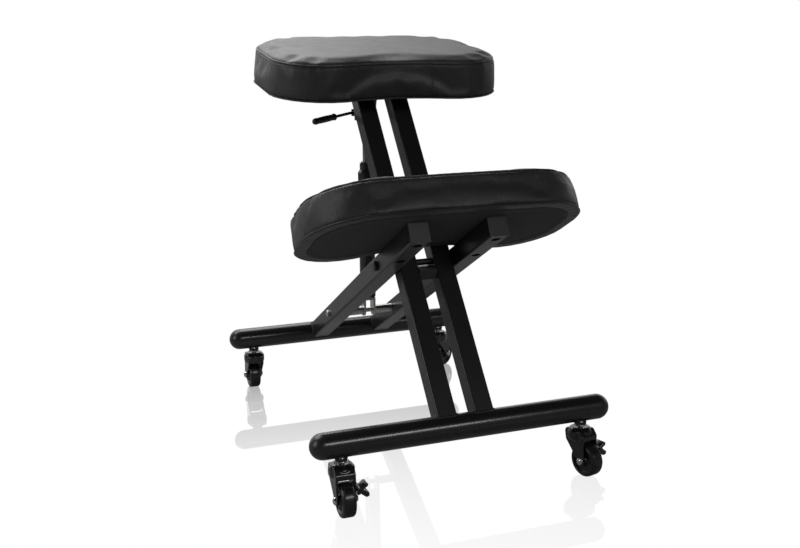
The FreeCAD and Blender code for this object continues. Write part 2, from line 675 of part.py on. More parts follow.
def build_upper_bracket():
    """U bracket under the seat plate: two cheeks hold the strut pin, lugs hold the lever."""
    cheek_in, cheek_out = 10.5, 13.5
    top = in_frame(SEAT_PAD_FRAME, 0, 0, -size("dust_thickness") - size("plate_thickness"))
    slope = math.tan(math.radians(size("seat_tilt")))

    def plate_z(y):
        return top.z + (y - top.y) * slope

    front, rear = size("strut_top_rear") - 42, size("strut_top_rear") + 18
    low_rear = size("lever_height") - 14
    outline = [(front, plate_z(front)), (rear, plate_z(rear)), (rear, low_rear),
               (rear - 34, low_rear), (front + 16, plate_z(front) - 24),
               (front, plate_z(front) - 8)]
    body = new_body("strut_upper_bracket")
    cheeks = new_sketch(body, "YZ_Plane", "bracket_cheek_outline")
    draw_outline(cheeks, outline)
    pad(body, cheeks, str(2 * cheek_out), both_ways=True)
    gap = new_sketch(body, "XZ_Plane", "bracket_gap")
    draw_outline(gap, [(-cheek_in, 400), (cheek_in, 400), (cheek_in, 700), (-cheek_in, 700)])
    pocket_through(body, gap)
    bridge = new_sketch(body, "YZ_Plane", "bracket_bridge")
    draw_outline(bridge, [(front, plate_z(front)), (rear, plate_z(rear)),
                          (rear, plate_z(rear) - 3), (front, plate_z(front) - 3)])
    pad(body, bridge, str(2 * cheek_out), both_ways=True)
    pin_hole = new_sketch(body, "YZ_Plane", "bracket_pin_hole")
    draw_circle(pin_hole, "sizes.strut_pin_radius + 0.02",
                (size("strut_top_rear"), size("strut_top_height")))
    pocket_through(body, pin_hole)
    lever_y = size("strut_top_rear")
    window = new_sketch(body, "YZ_Plane", "bracket_lever_window")
    height = size("lever_height")
    draw_outline(window, [(lever_y - 7, height - 9), (lever_y + 7, height - 9),
                          (lever_y + 7, height + 9), (lever_y - 7, height + 9)])
    pocket_through(body, window)
    lugs = new_sketch(body, "XY_Plane", "bracket_lugs", height - 6)
    reach = size("lever_pivot_x") + 4
    for side in (-1, 1):
        near, far = lever_y + side * 7, lever_y + side * 10
        draw_outline(lugs, [(-reach, near), (-cheek_in - 1, near), (-cheek_in - 1, far),
                            (-reach, far)])
    pad(body, lugs, "12")
    lever_hole = new_sketch(body, "XZ_Plane", "bracket_lever_hole")
    draw_circle(lever_hole, "2.02", (-size("lever_pivot_x"), height))
    pocket_through(body, lever_hole)
    pin = cylinder("upper_pin_shank", "sizes.strut_pin_radius", "27",
                   (-13.5, lever_y, size("strut_top_height")), (1, 0, 0))
    heads = []
    for side in (-1, 1):
        x = 13.5 if side > 0 else -16.5
        heads.append(cylinder(f"upper_pin_head_{side + 1}", "6.5", "3",
                              (x, lever_y, size("strut_top_height")), (1, 0, 0)))
    finish_part(fuse("upper_pin_whole", [pin] + heads), "strut_upper_pin")
    lever_pin = cylinder("lever_pin_shank", "2", "23",
                         (-size("lever_pivot_x"), lever_y - 11.5, height), (0, 1, 0))
    finish_part(lever_pin, "lever_pin")


def lever_path():
    """Points of the release lever's centre line: tongue end, pivot, bend, grip end."""
    y, z = size("strut_top_rear"), size("lever_height")
    sweep, drop = math.radians(size("lever_sweep")), math.radians(size("lever_drop"))
    way = Vector(-math.cos(sweep) * math.cos(drop), -math.sin(sweep) * math.cos(drop),
                 -math.sin(drop))
    bend = Vector(-size("lever_bend_x"), y, z)
    return Vector(-size("lever_pivot_x") + 3, y, z), bend, way


def build_release_lever():
    """Bent steel rod with a flat tongue and pivot eye, and a plastic grip on its outer end."""
    start, bend, way = lever_path()
    y, z = size("strut_top_rear"), size("lever_height")
    pivot_x = size("lever_pivot_x")
    rod_length = 88
    inner_rod = cylinder("lever_inner_rod", "sizes.lever_rod_radius", str(start.x - bend.x),
                         tuple(start), (-1, 0, 0))
    knuckle = DOCUMENT.addObject("Part::Sphere", "lever_knuckle")
    knuckle.setExpression("Radius", "sizes.lever_rod_radius")
    knuckle.Placement = Placement(bend, Rotation())
    outer_rod = cylinder("lever_outer_rod", "sizes.lever_rod_radius", str(rod_length),
                         tuple(bend), tuple(way))
    eye = cylinder("lever_eye", "3.8", "10", (-pivot_x, y - 5, z), (0, 1, 0))
    tongue = block("lever_tongue", str(pivot_x + 4), "5", "3", (-pivot_x, y - 2.5, z - 1.5))
    hole = cylinder("lever_eye_hole", "2.05", "12", (-pivot_x, y - 6, z), (0, 1, 0))
    whole = fuse("lever_whole", [inner_rod, knuckle, outer_rod, eye, tongue])
    finish_part(cut("lever_cut", whole, [hole]), "release_lever_rod")
    radius, length = size("grip_radius"), size("grip_length")
    bore = size("lever_rod_radius") + 0.02
    grip_start = bend + way * 40
    frame = Placement(grip_start, Rotation(Vector(0, 0, 1), way))
    body = new_body("release_lever_grip", frame)
    profile = new_sketch(body, "XZ_Plane", "grip_profile")
    dome = Vector(radius * math.sin(math.pi / 4), length - radius + radius * math.cos(math.pi / 4))
    path = [Vector(bore, 0), Vector(radius - 2, 0), Vector(radius - 2, 2), Vector(radius, 3),
            Vector(radius, length - radius)]
    for first, second in zip(path, path[1:]):
        profile.addGeometry(Part.LineSegment(first, second), False)
    profile.addGeometry(Part.Arc(path[-1], dome, Vector(0, length)), False)
    inner_end = rod_length - 40 + 0.2
    path = [Vector(0, length), Vector(0, inner_end), Vector(bore, inner_end), Vector(bore, 0)]
    for first, second in zip(path, path[1:]):
        profile.addGeometry(Part.LineSegment(first, second), False)
    revolve(body, profile, "V_Axis")


# ---- casters -----------------------------------------------------------------------------

def caster_frame(side, end, swivel):
    """Frame of one caster: origin on the floor under its stem, wheel trailing to local -Y."""
    y = FRONT_Y if end < 0 else REAR_Y
    spin = Rotation(Vector(0, 0, 1), swivel)
    return Placement(Vector(side * size("caster_offset"), y, 0), spin)


def build_caster_stem(tag, frame):
    """Threaded stem, its zinc collar and the insert that holds it in the bar's lower wall."""
    bar_low = BAR_Z - size("bar_diameter") / 2
    neck, stem, insert = size("stem_radius"), size("stem_radius") + 1, size("insert_radius")
    top = size("fork_top")
    turned_piece(f"caster_stem_{tag}", [
        (0, top - 14), (neck, top - 14), (neck, top + 0.3), (7, top + 0.3), (7, top + 2),
        (insert + 1.5, top + 2), (insert + 1.5, bar_low - 0.3), (insert, bar_low - 0.3),
        (insert, bar_low + 9), (stem, bar_low + 9), (stem, BAR_Z + 12), (stem - 1, BAR_Z + 13),
        (0, BAR_Z + 13)], frame)


def build_caster_fork(tag, frame, braked):
    """Fork: round shoulder under the stem, two tapering arms down to the axle."""
    body = new_body(f"caster_fork_{tag}", frame)
    side_view = new_sketch(body, "YZ_Plane", f"fork_side_{tag}")
    trail, radius = -size("caster_trail"), size("fork_radius")
    top, axle_z = size("fork_top"), size("wheel_radius")
    boss = 8
    roof = size("fork_roof")
    points = [(radius - 5, top - 3), (radius - 2, top - 8), (radius - 3, roof - 2),
              (trail + boss, axle_z + 2), (trail + 4, axle_z - boss), (trail - 4, axle_z - boss),
              (trail - boss, axle_z + 2), (-radius - 4, roof - 6), (-radius - 2, top - 10),
              (5 - radius, top - 3)]
    draw_outline(side_view, points)
    pad(body, side_view, "sizes.fork_outer", both_ways=True)
    slot = new_sketch(body, "XZ_Plane", f"fork_slot_{tag}")
    half = size("fork_inner") / 2
    draw_outline(slot, [(-half, -5), (half, -5), (half, roof), (-half, roof)])
    pocket_through(body, slot)
    axle = new_sketch(body, "YZ_Plane", f"fork_axle_{tag}")
    draw_circle(axle, "sizes.axle_radius + 0.02", (trail, axle_z))
    pocket_through(body, axle)
    shoulder = new_sketch(body, "XZ_Plane", f"fork_shoulder_{tag}")
    draw_outline(shoulder, [(0, roof), (radius, roof), (radius, top - 6), (radius - 1.5, top - 2.5),
                            (radius - 5, top - 0.6), (radius - 9, top), (0, top)])
    revolve(body, shoulder, "V_Axis")
    bore = new_sketch(body, "XY_Plane", f"fork_bore_{tag}", top)
    draw_circle(bore, "sizes.stem_radius + 0.05")
    pocket_deep(body, bore, "15")
    if braked:
        lugs = new_sketch(body, "XZ_Plane", f"fork_lugs_{tag}", -trail)
        outer = size("fork_outer") / 2
        draw_outline(lugs, [(outer - 1, 33), (outer + 7, 35), (outer + 7, 42), (outer - 1, 44)])
        pad(body, lugs, "24", both_ways=True)
        gap = new_sketch(body, "XY_Plane", f"fork_lug_gap_{tag}", 50)
        draw_outline(gap, [(outer + 0.01, trail - 9), (outer + 9, trail - 9),
                           (outer + 9, trail + 9), (outer + 0.01, trail + 9)])
        pocket_deep(body, gap, "20")
        pin = new_sketch(body, "XZ_Plane", f"fork_lug_hole_{tag}", -trail)
        draw_circle(pin, "1.55", (outer + 4, 38.5))
        feature = body.newObject("PartDesign::Pocket", f"fork_lug_pocket_{tag}")
        feature.Profile = pin
        feature.SideType = "Symmetric"
        feature.Length = 26
        body.Tip = feature
        DOCUMENT.recompute()


def build_caster_wheel(tag, frame):
    """Wheel with rounded tread, dished sides and a hub that nearly fills the fork."""
    radius, half = size("wheel_radius"), size("wheel_width") / 2
    hub, bore = 7.5, size("axle_radius") + 0.05
    hub_half = size("fork_inner") / 2 - 0.35
    spot = frame.multiply(Placement(Vector(0, -size("caster_trail"), radius),
                                    Rotation(Vector(0, 1, 0), 90)))
    turned_piece(f"caster_wheel_{tag}", [
        (bore, -hub_half), (hub, -hub_half), (hub, -half + 3), (radius - 7, -half + 3),
        (radius - 6, -half), (radius - 3, -half), (radius, -half + 4), (radius, half - 4),
        (radius - 3, half), (radius - 6, half), (radius - 7, half - 3), (hub, half - 3),
        (hub, hub_half), (bore, hub_half)], spot)


def build_caster_axle(tag, frame):
    """Axle pin with a bright domed nut outside each arm."""
    outer, radius = size("fork_outer") / 2, size("axle_radius")
    spot = frame.multiply(Placement(Vector(0, -size("caster_trail"), size("wheel_radius")),
                                    Rotation(Vector(0, 1, 0), 90)))
    turned_piece(f"caster_axle_{tag}", [
        (0, -outer - 3.5), (3, -outer - 3.2), (5, -outer - 2), (5.5, -outer), (radius, -outer),
        (radius, outer), (5.5, outer), (5, outer + 2), (3, outer + 3.2), (0, outer + 3.5)], spot)


def build_brake_pedal(tag, frame):
    """Two-winged rocker beside the fork, on stub pins in the fork's lugs."""
    outer = size("fork_outer") / 2
    x, y, z = outer + 4, -size("caster_trail"), 38.5
    along = (0, 1, 0)
    boss = cylinder(f"pedal_boss_{tag}", "3.6", "17.4", (x, y - 8.7, z), along)
    pins = cylinder(f"pedal_pins_{tag}", "1.5", "23.6", (x, y - 11.8, z), along)
    shapes = [boss, pins]
    for name, length, drop, thick in (("upper", 14, -34, 3.2), ("lower", 16, 36, 4)):
        way = Rotation(Vector(0, 1, 0), drop)
        arm = block(f"pedal_{name}_{tag}", str(length), "17.4", str(2 * thick),
                    tuple(Vector(x, y - 8.7, z) - way.multVec(Vector(0, 0, thick))), way)
        tip = Vector(x, y - 8.7, z) + way.multVec(Vector(length, 0, 0))
        shapes += [arm, cylinder(f"pedal_tip_{name}_{tag}", str(thick), "17.4", tuple(tip), along)]
    finish_part(fuse(f"pedal_whole_{tag}", shapes), f"brake_pedal_{tag}", frame)


def build_casters():
    """Four casters, each standing at its own swivel angle; the front pair has brake pedals."""
    for side, side_name in ((-1, "left"), (1, "right")):
        for end, end_name in ((-1, "front"), (1, "rear")):
            tag = f"{end_name}_{side_name}"
            frame = caster_frame(side, end, size(f"swivel_{tag}"))
            build_caster_stem(tag, frame)
            build_caster_fork(tag, frame, end < 0)
            build_caster_wheel(tag, frame)
            build_caster_axle(tag, frame)
            if end < 0:
                build_brake_pedal(tag, frame)


# ---- the whole chair ---------------------------------------------------------------------

def build_chair():
    """All sub-parts, from the floor up."""
    build_casters()
    build_base_bar("front_base_bar", FRONT_Y)
    build_base_bar("rear_base_bar", REAR_Y)
    build_end_caps("front_bar_end_caps", FRONT_Y)
    build_end_caps("rear_bar_end_caps", REAR_Y)
    for side, name in ((-1, "left"), (1, "right")):
        build_seat_tube(f"seat_tube_{name}", side)
        build_knee_tube(f"knee_tube_{name}", side)
    build_tube_brace()
    build_tube_plugs()
    build_pivot()
    build_seat_pad()
    build_knee_pad()
    build_lower_axle()
    build_strut_clevis()
    build_strut_cylinder()
    build_strut_rod()
    build_strut_head()
    build_upper_bracket()
    build_release_lever()


def export_parts():
    """Check every object, then write each sub-part to its own STEP file."""
    DOCUMENT.recompute()
    for item in DOCUMENT.Objects:
        if "Invalid" in item.State or "Error" in item.State:
            raise RuntimeError(f"failed object: {item.Name} {item.State}")
    for item in PARTS:
        if item.Shape.isNull() or not item.Shape.isValid():
            raise RuntimeError("bad shape: " + item.Label)
    os.makedirs("parts", exist_ok=True)
    for item in PARTS:
        item.Shape.exportStep(f"parts/{item.Label}.step")
        box = item.Shape.BoundBox
        print(f"{item.Label}: {len(item.Shape.Solids)} solids, "
              f"{box.XLength:.0f} x {box.YLength:.0f} x {box.ZLength:.0f} mm")


build_chair()
export_parts()
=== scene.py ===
import json
import logging
import math
from dataclasses import dataclass, field
from enum import Enum
from typing import Any, Callable, Dict, List, Optional, Sequence, Tuple, Union

import bmesh
import bpy
from mathutils import Matrix, Vector, noise
from mathutils.bvhtree import BVHTree


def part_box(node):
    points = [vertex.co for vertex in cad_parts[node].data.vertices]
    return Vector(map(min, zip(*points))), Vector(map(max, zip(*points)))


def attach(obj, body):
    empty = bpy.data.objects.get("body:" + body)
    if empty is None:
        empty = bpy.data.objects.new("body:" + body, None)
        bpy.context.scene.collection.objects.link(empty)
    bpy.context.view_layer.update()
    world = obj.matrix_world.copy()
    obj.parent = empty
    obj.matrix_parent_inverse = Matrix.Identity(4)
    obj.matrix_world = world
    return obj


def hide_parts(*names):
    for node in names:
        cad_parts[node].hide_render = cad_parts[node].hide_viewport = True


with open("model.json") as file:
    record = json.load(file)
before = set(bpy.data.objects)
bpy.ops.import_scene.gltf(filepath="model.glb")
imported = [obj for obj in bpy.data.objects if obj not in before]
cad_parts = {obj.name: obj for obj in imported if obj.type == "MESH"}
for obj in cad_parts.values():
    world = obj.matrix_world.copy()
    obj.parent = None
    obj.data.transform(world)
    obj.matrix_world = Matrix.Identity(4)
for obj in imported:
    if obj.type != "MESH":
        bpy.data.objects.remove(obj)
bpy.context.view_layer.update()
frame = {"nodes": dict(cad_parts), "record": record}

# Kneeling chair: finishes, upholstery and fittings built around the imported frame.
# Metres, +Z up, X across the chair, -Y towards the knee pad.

LOG = logging.getLogger("kneeling_chair")
MM = 0.001
TURN = 2 * math.pi
Triple = Tuple[float, float, float]
Feed = Union["Value", float, Tuple[float, ...]]


# ---- shader arithmetic -------------------------------------------------------------------

class Value:
    """One socket of a node tree. Arithmetic on it adds Math nodes."""

    def __init__(self, tree: bpy.types.NodeTree, socket: bpy.types.NodeSocket) -> None:
        """Wrap a socket of a tree."""
        self.tree = tree
        self.socket = socket

    def math(self, operation: str, *others: Feed, first: Optional[Feed] = None) -> "Value":
        """Add a Math node.

        Args:
            operation: the node's operation.
            others: what follows this value in the node's inputs.
            first: goes before this value where the order is turned round.

        Returns:
            The node's result.
        """
        node = self.tree.nodes.new("ShaderNodeMath")
        node.operation = operation
        items = (self, *others) if first is None else (first, self)
        for target, item in zip(node.inputs, items):
            feed(self.tree, target, item)
        return Value(self.tree, node.outputs[0])

    def __add__(self, other: Feed) -> "Value":
        """Sum."""
        return self.math("ADD", other)

    def __radd__(self, other: Feed) -> "Value":
        """Sum, number first."""
        return self.math("ADD", first=other)

    def __sub__(self, other: Feed) -> "Value":
        """Difference."""
        return self.math("SUBTRACT", other)

    def __rsub__(self, other: Feed) -> "Value":
        """Difference, number first."""
        return self.math("SUBTRACT", first=other)

    def __mul__(self, other: Feed) -> "Value":
        """Product."""
        return self.math("MULTIPLY", other)

    def __rmul__(self, other: Feed) -> "Value":
        """Product, number first."""
        return self.math("MULTIPLY", first=other)

    def __truediv__(self, other: Feed) -> "Value":
        """Quotient."""
        return self.math("DIVIDE", other)

    def __pow__(self, other: Feed) -> "Value":
        """Power."""
        return self.math("POWER", other)

    def within(self, low: float, high: float) -> "Value":
        """0 below low, 1 above high, even between.

        Args:
            low: value that gives 0.
            high: value that gives 1.

        Returns:
            The clamped share.
        """
        share = (self - low) / (high - low)
        return share.math("MAXIMUM", 0.0).math("MINIMUM", 1.0)


def feed(tree: bpy.types.NodeTree, target: bpy.types.NodeSocket, item: Feed) -> None:
    """Link a value, or write a number, into a socket.

    Args:
        tree: the socket's node tree.
        target: socket that takes the item.
        item: wrapped socket, number or tuple.
    """
    if isinstance(item, Value):
        tree.links.new(item.socket, target)
    else:
        target.default_value = item


class Recipe:
    """Node tree of one material, filled from Python."""

    def __init__(self, name: str) -> None:
        """Start an empty material.

        Args:
            name: the material's name.
        """
        self.material = bpy.data.materials.new(name)
        self.material.use_nodes = True
        self.tree = self.material.node_tree
        self.tree.nodes.clear()

    def node(self, kind: str, settings: Dict[str, Any], inputs: Dict[str, Feed],
             output: str = "") -> Value:
        """Add any node.

        Args:
            kind: node type.
            settings: attributes written first.
            inputs: numbers or values by socket identifier or name.
            output: name or identifier of the wanted output, the first when empty.

        Returns:
            The wanted output.
        """
        node = self.tree.nodes.new(kind)
        for key, setting in settings.items():
            setattr(node, key, setting)
        for key, item in inputs.items():
            target = next(s for s in node.inputs if key in (s.identifier, s.name))
            feed(self.tree, target, item)
        if not output:
            return Value(self.tree, node.outputs[0])
        found = next(s for s in node.outputs if output in (s.identifier, s.name))
        return Value(self.tree, found)

    def place(self, scale: Triple = (1.0, 1.0, 1.0), turn: Triple = (0.0, 0.0, 0.0)) -> Value:
        """Object coordinates, turned and then scaled.

        Args:
            scale: stretch of the pattern along each axis.
            turn: rotation in degrees.

        Returns:
            The coordinates.
        """
        spot = self.node("ShaderNodeTexCoord", {}, {}, "Object")
        angles = tuple(math.radians(a) for a in turn)
        return self.node("ShaderNodeMapping", {}, {
            "Vector": spot, "Rotation": angles, "Scale": scale})

    def noise(self, spot: Value, scale: float, detail: float = 3.0, rough: float = 0.5) -> Value:
        """Noise texture's grey value.

        Args:
            spot: coordinates.
            scale: cells for each metre.
            detail: octaves.
            rough: weight of the small octaves.

        Returns:
            The value, around 0.5.
        """
        return self.node("ShaderNodeTexNoise", {}, {
            "Vector": spot, "Scale": scale, "Detail": detail, "Roughness": rough})

    def cells(self, spot: Value, scale: float, feature: str) -> Value:
        """Voronoi texture's distance."""
        return self.node("ShaderNodeTexVoronoi", {"feature": feature},
                         {"Vector": spot, "Scale": scale}, "Distance")

    def mix(self, share: Feed, first: Feed, second: Feed) -> Value:
        """Blend two colours by a share."""
        return self.node("ShaderNodeMix", {"data_type": "RGBA"}, {
            "Factor_Float": share, "A_Color": first, "B_Color": second}, "Result_Color")

    def bump(self, height: Value, depth: float, strength: float = 1.0,
             below: Optional[Value] = None) -> Value:
        """Normal bent by a height.

        Args:
            height: value from 0 to 1.
            depth: metres that the height stands for.
            strength: share of the effect.
            below: normal of an earlier bump.

        Returns:
            The bent normal.
        """
        inputs: Dict[str, Feed] = {"Height": height, "Distance": depth, "Strength": strength}
        if below is not None:
            inputs["Normal"] = below
        return self.node("ShaderNodeBump", {}, inputs)

    def finish(self, **inputs: Feed) -> bpy.types.Material:
        """Close the tree with a Principled shader.

        Args:
            inputs: shader sockets, with _ for a space.

        Returns:
            The material.
        """
        named = {key.replace("_", " "): item for key, item in inputs.items()}
        return self.close(self.node("ShaderNodeBsdfPrincipled", {}, named))

    def blend(self, share: Feed, first: Value, second: Value) -> Value:
        """Blend two shaders by a share."""
        return self.node("ShaderNodeMixShader", {}, {
            "Fac": share, "Shader": first, "Shader_001": second})

    def close(self, surface: Value) -> bpy.types.Material:
        """Join the last shader to the material's output.

        Args:
            surface: the last shader.

        Returns:
            The material.
        """
        output = self.tree.nodes.new("ShaderNodeOutputMaterial")
        self.tree.links.new(surface.socket, output.inputs["Surface"])
        return self.material


def tone(colour: Triple, gain: float) -> Tuple[float, float, float, float]:
    """A colour made lighter or darker.

    Args:
        colour: linear red, green and blue.
        gain: factor.

    Returns:
        Four numbers for a colour socket.
    """
    return (*(min(1.0, channel * gain) for channel in colour), 1.0)


# ---- finishes ----------------------------------------------------------------------------

@dataclass(frozen=True)
class PowderCoat:
    """Stoved powder paint: orange peel, faint scuffs and settled dust on upward faces."""

    name: str
    colour: Triple
    roughness: float
    coat: float
    peel: float = 0.00006

    def make(self) -> bpy.types.Material:
        """Build the material."""
        r = Recipe(self.name)
        spot = r.place()
        cloud = r.noise(spot, 11.0, 4.0)
        peel = r.noise(spot, 620.0, 2.0, 0.4)
        scuff = r.noise(r.place((40.0, 40.0, 900.0), (12.0, 0.0, 31.0)), 1.0, 3.0, 0.6)
        scuffs = scuff.within(0.70, 0.78) * r.noise(spot, 23.0).within(0.5, 0.62)
        pits = 1 - r.cells(spot, 900.0, "F1").within(0.05, 0.16)
        up = r.node("ShaderNodeNewGeometry", {}, {}, "Normal")
        lift = r.node("ShaderNodeSeparateXYZ", {}, {"Vector": up}, "Z").within(0.55, 1.0)
        dust = lift * r.noise(spot, 260.0, 5.0, 0.7).within(0.45, 0.8) * 0.03
        base = r.mix(cloud, tone(self.colour, 0.82), tone(self.colour, 1.2))
        base = r.mix(scuffs * 0.35, base, tone(self.colour, 3.0))
        base = r.mix(dust, base, (0.20, 0.195, 0.19, 1.0))
        rough = (cloud - 0.5) * 0.10 + self.roughness + scuffs * 0.14 + dust * 1.5
        height = peel + pits * 0.12 - scuffs * 0.2
        return r.finish(
            Base_Color=base, Roughness=rough.math("MAXIMUM", 0.05),
            Normal=r.bump(height, self.peel, 0.55), Coat_Weight=self.coat - scuffs * self.coat,
            Coat_Roughness=0.12, Specular_IOR_Level=0.5)


@dataclass(frozen=True)
class Moulding:
    """Injection-moulded plastic: spark-eroded grain, flow marks and rubbed high spots."""

    name: str
    colour: Triple
    roughness: float
    grain: float = 1300.0
    depth: float = 0.00004
    coat: float = 0.0

    def make(self) -> bpy.types.Material:
        """Build the material."""
        r = Recipe(self.name)
        spot = r.place()
        grain = r.noise(spot, self.grain, 3.0, 0.6)
        flow = r.noise(r.place((1.0, 1.0, 5.0), (25.0, 10.0, 0.0)), 26.0, 3.0)
        rub = r.noise(spot, 75.0, 6.0, 0.75).within(0.62, 0.74)
        base = r.mix(flow, tone(self.colour, 0.78), tone(self.colour, 1.25))
        base = r.mix(rub * 0.25, base, tone(self.colour, 2.4))
        rough = (flow - 0.5) * 0.12 + self.roughness + rub * 0.08 + (grain - 0.5) * 0.10
        return r.finish(
            Base_Color=base, Roughness=rough.math("MAXIMUM", 0.06),
            Normal=r.bump(grain, self.depth, 0.6), Coat_Weight=self.coat, Coat_Roughness=0.08)


@dataclass(frozen=True)
class GrainedVinyl:
    """Soft upholstery vinyl: pebble grain with painted shade in its valleys, fine creases, pores
    and mottled sheen.
    """

    name: str
    colour: Triple
    roughness: float = 0.42
    pebble: float = 520.0
    depth: float = 0.00022

    def make(self) -> bpy.types.Material:
        """Build the material."""
        r = Recipe(self.name)
        spot = r.place()
        drift = r.node("ShaderNodeTexNoise", {}, {
            "Vector": spot, "Scale": 160.0, "Detail": 2.0}, "Color")
        bent = r.node("ShaderNodeVectorMath", {"operation": "MULTIPLY_ADD"}, {
            "Vector": drift, "Vector_001": (0.0022, 0.0022, 0.0022), "Vector_002": spot})
        pebble = r.cells(bent, self.pebble, "DISTANCE_TO_EDGE").within(0.0, 0.28)
        minor = r.cells(bent, self.pebble * 2.3, "DISTANCE_TO_EDGE").within(0.0, 0.3)
        ridge = (r.noise(bent, 90.0, 4.0, 0.6) - 0.5).math("ABSOLUTE")
        crease = 1 - ridge.within(0.0, 0.05)
        mottle = r.noise(spot, 34.0, 5.0, 0.62)
        patch = r.noise(spot, 7.0, 3.0)
        pores = 1 - r.cells(spot, 1500.0, "F1").within(0.05, 0.2)
        base = r.mix(mottle, tone(self.colour, 0.74), tone(self.colour, 1.32))
        # painted shade: the colour darkens in the valleys between the pebbles, where the grain's
        # bump is lowest
        base = r.mix((1 - pebble) * 0.55, base, tone(self.colour, 0.5))
        base = r.mix(patch.within(0.45, 0.7) * 0.3, base, tone(self.colour, 1.55))
        rough = (mottle - 0.5) * 0.22 + self.roughness + (1 - pebble) * 0.12 + pores * 0.05
        height = pebble * 0.62 + minor * 0.2 - crease * 0.30 - pores * 0.12
        grain = r.bump(height, self.depth, 0.75)
        soft = r.bump(mottle * 0.7 + patch * 0.3, 0.0016, 0.6, grain)
        return r.finish(
            Base_Color=base, Roughness=rough.math("MAXIMUM", 0.18), Normal=soft,
            Coat_Weight=0.10, Coat_Roughness=0.35, Sheen_Weight=0.08, Sheen_Roughness=0.4,
            Specular_IOR_Level=0.55)


@dataclass(frozen=True)
class Plating:
    """Bright plated steel: spangle, drawn lines and dull spots."""

    name: str
    colour: Triple
    roughness: float
    spangle: float = 0.12

    def make(self) -> bpy.types.Material:
        """Build the material."""
        r = Recipe(self.name)
        spot = r.place()
        flake = r.node("ShaderNodeTexVoronoi", {"feature": "F1"}, {
            "Vector": spot, "Scale": 420.0}, "Color")
        shade = r.node("ShaderNodeSeparateColor", {}, {"Color": flake}, "Red")
        lines = r.noise(r.place((2400.0, 2400.0, 30.0), (0.0, 90.0, 0.0)), 1.0, 2.0)
        dull = r.noise(spot, 95.0, 5.0, 0.7).within(0.52, 0.72)
        base = r.mix(shade * self.spangle, tone(self.colour, 1.06), tone(self.colour, 0.7))
        base = r.mix(dull * 0.3, base, tone(self.colour, 0.55))
        rough = self.roughness + (shade - 0.5) * self.spangle + dull * 0.16 + (lines - 0.5) * 0.08
        return r.finish(
            Base_Color=base, Metallic=1.0, Roughness=rough.math("MAXIMUM", 0.05),
            Normal=r.bump(lines + dull * 0.3, 0.00002, 0.5))


@dataclass(frozen=True)
class BondedCloth:
    """Non-woven dust cloth: matted fibres pressed by a lattice of small bond points."""

    name: str
    colour: Triple
    pitch: float = 0.0024

    def make(self) -> bpy.types.Material:
        """Build the material."""
        r = Recipe(self.name)
        spot = r.place()
        along = r.noise(r.place((180.0, 2200.0, 900.0), (0.0, 0.0, 28.0)), 1.0, 3.0, 0.6)
        across = r.noise(r.place((2200.0, 240.0, 900.0), (0.0, 0.0, -17.0)), 1.0, 3.0, 0.6)
        x = r.node("ShaderNodeSeparateXYZ", {}, {"Vector": spot}, "X")
        y = r.node("ShaderNodeSeparateXYZ", {}, {"Vector": spot}, "Y")
        wave = TURN / self.pitch
        bonds = ((x + y) * (wave * 0.5)).math("SINE") * ((x - y) * (wave * 0.5)).math("SINE")
        dots = bonds.math("ABSOLUTE").within(0.72, 0.92)
        fibres = along * 0.5 + across * 0.5
        base = r.mix(fibres.within(0.35, 0.65), tone(self.colour, 0.6), tone(self.colour, 1.5))
        base = r.mix(dots * 0.5, base, tone(self.colour, 0.6))
        rough = 0.86 - dots * 0.22 + (fibres - 0.5) * 0.12
        return r.finish(
            Base_Color=base, Roughness=rough, Normal=r.bump(fibres - dots * 0.6, 0.00022, 0.8),
            Sheen_Weight=0.12, Specular_IOR_Level=0.35)


@dataclass(frozen=True)
class Plywood:
    """Raw birch plywood: long grain, fine pores and a few dark streaks."""

    name: str
    colour: Triple

    def make(self) -> bpy.types.Material:
        """Build the material."""
        r = Recipe(self.name)
        grain = r.noise(r.place((14.0, 260.0, 260.0)), 1.0, 5.0, 0.65)
        plies = r.noise(r.place((1.0, 1.0, 480.0)), 1.0, 1.0).within(0.42, 0.58)
        pores = r.noise(r.place((120.0, 2600.0, 2600.0)), 1.0, 2.0).within(0.6, 0.72)
        base = r.mix(grain, tone(self.colour, 0.72), tone(self.colour, 1.2))
        base = r.mix(plies * 0.3, base, tone(self.colour, 0.6))
        base = r.mix(pores * 0.4, base, tone(self.colour, 0.4))
        return r.finish(Base_Color=base, Roughness=0.62 + pores * 0.2,
                        Normal=r.bump(grain - pores * 0.5, 0.00015, 0.6))


@dataclass(frozen=True)
class Thread:
    """Twisted polyester sewing thread, with painted shade in the twist's grooves and painted
    highlight on its ridges.
    """

    name: str
    colour: Triple

    def make(self) -> bpy.types.Material:
        """Build the material."""
        r = Recipe(self.name)
        twist = r.noise(r.place((3200.0, 3200.0, 700.0), (30.0, 40.0, 0.0)), 1.0, 1.0)
        # painted shade and highlight: the colour follows the twist's bump, darker in its grooves
        # and lighter on its ridges
        base = r.mix(twist, tone(self.colour, 0.5), tone(self.colour, 1.6))
        return r.finish(Base_Color=base, Roughness=0.5 + (twist - 0.5) * 0.2,
                        Normal=r.bump(twist, 0.0001, 0.7), Sheen_Weight=0.1)


@dataclass(frozen=True)
class StudioFloor:
    """Plain pale floor, polished like glass."""

    name: str
    colour: Triple
    most: float

    def make(self) -> bpy.types.Material:
        """Build the material: a lit, polished sheet to the eye, plain paint to the chair."""
        r = Recipe(self.name)
        white = (1.0, 1.0, 1.0, 1.0)
        paint = r.node("ShaderNodeBsdfDiffuse", {}, {"Color": tone(self.colour, 1.0)})
        light = r.node("ShaderNodeEmission", {}, {"Color": white, "Strength": 1.0})
        polish = r.node("ShaderNodeBsdfAnisotropic", {}, {"Color": white, "Roughness": 0.0})
        sheen = r.node("ShaderNodeFresnel", {}, {"IOR": 1.5})
        share = ((sheen / 0.225) ** 3.6).math("MINIMUM", self.most)
        eye = r.node("ShaderNodeLightPath", {}, {}, "Is Camera Ray")
        return r.close(r.blend(eye, paint, r.blend(share, light, polish)))


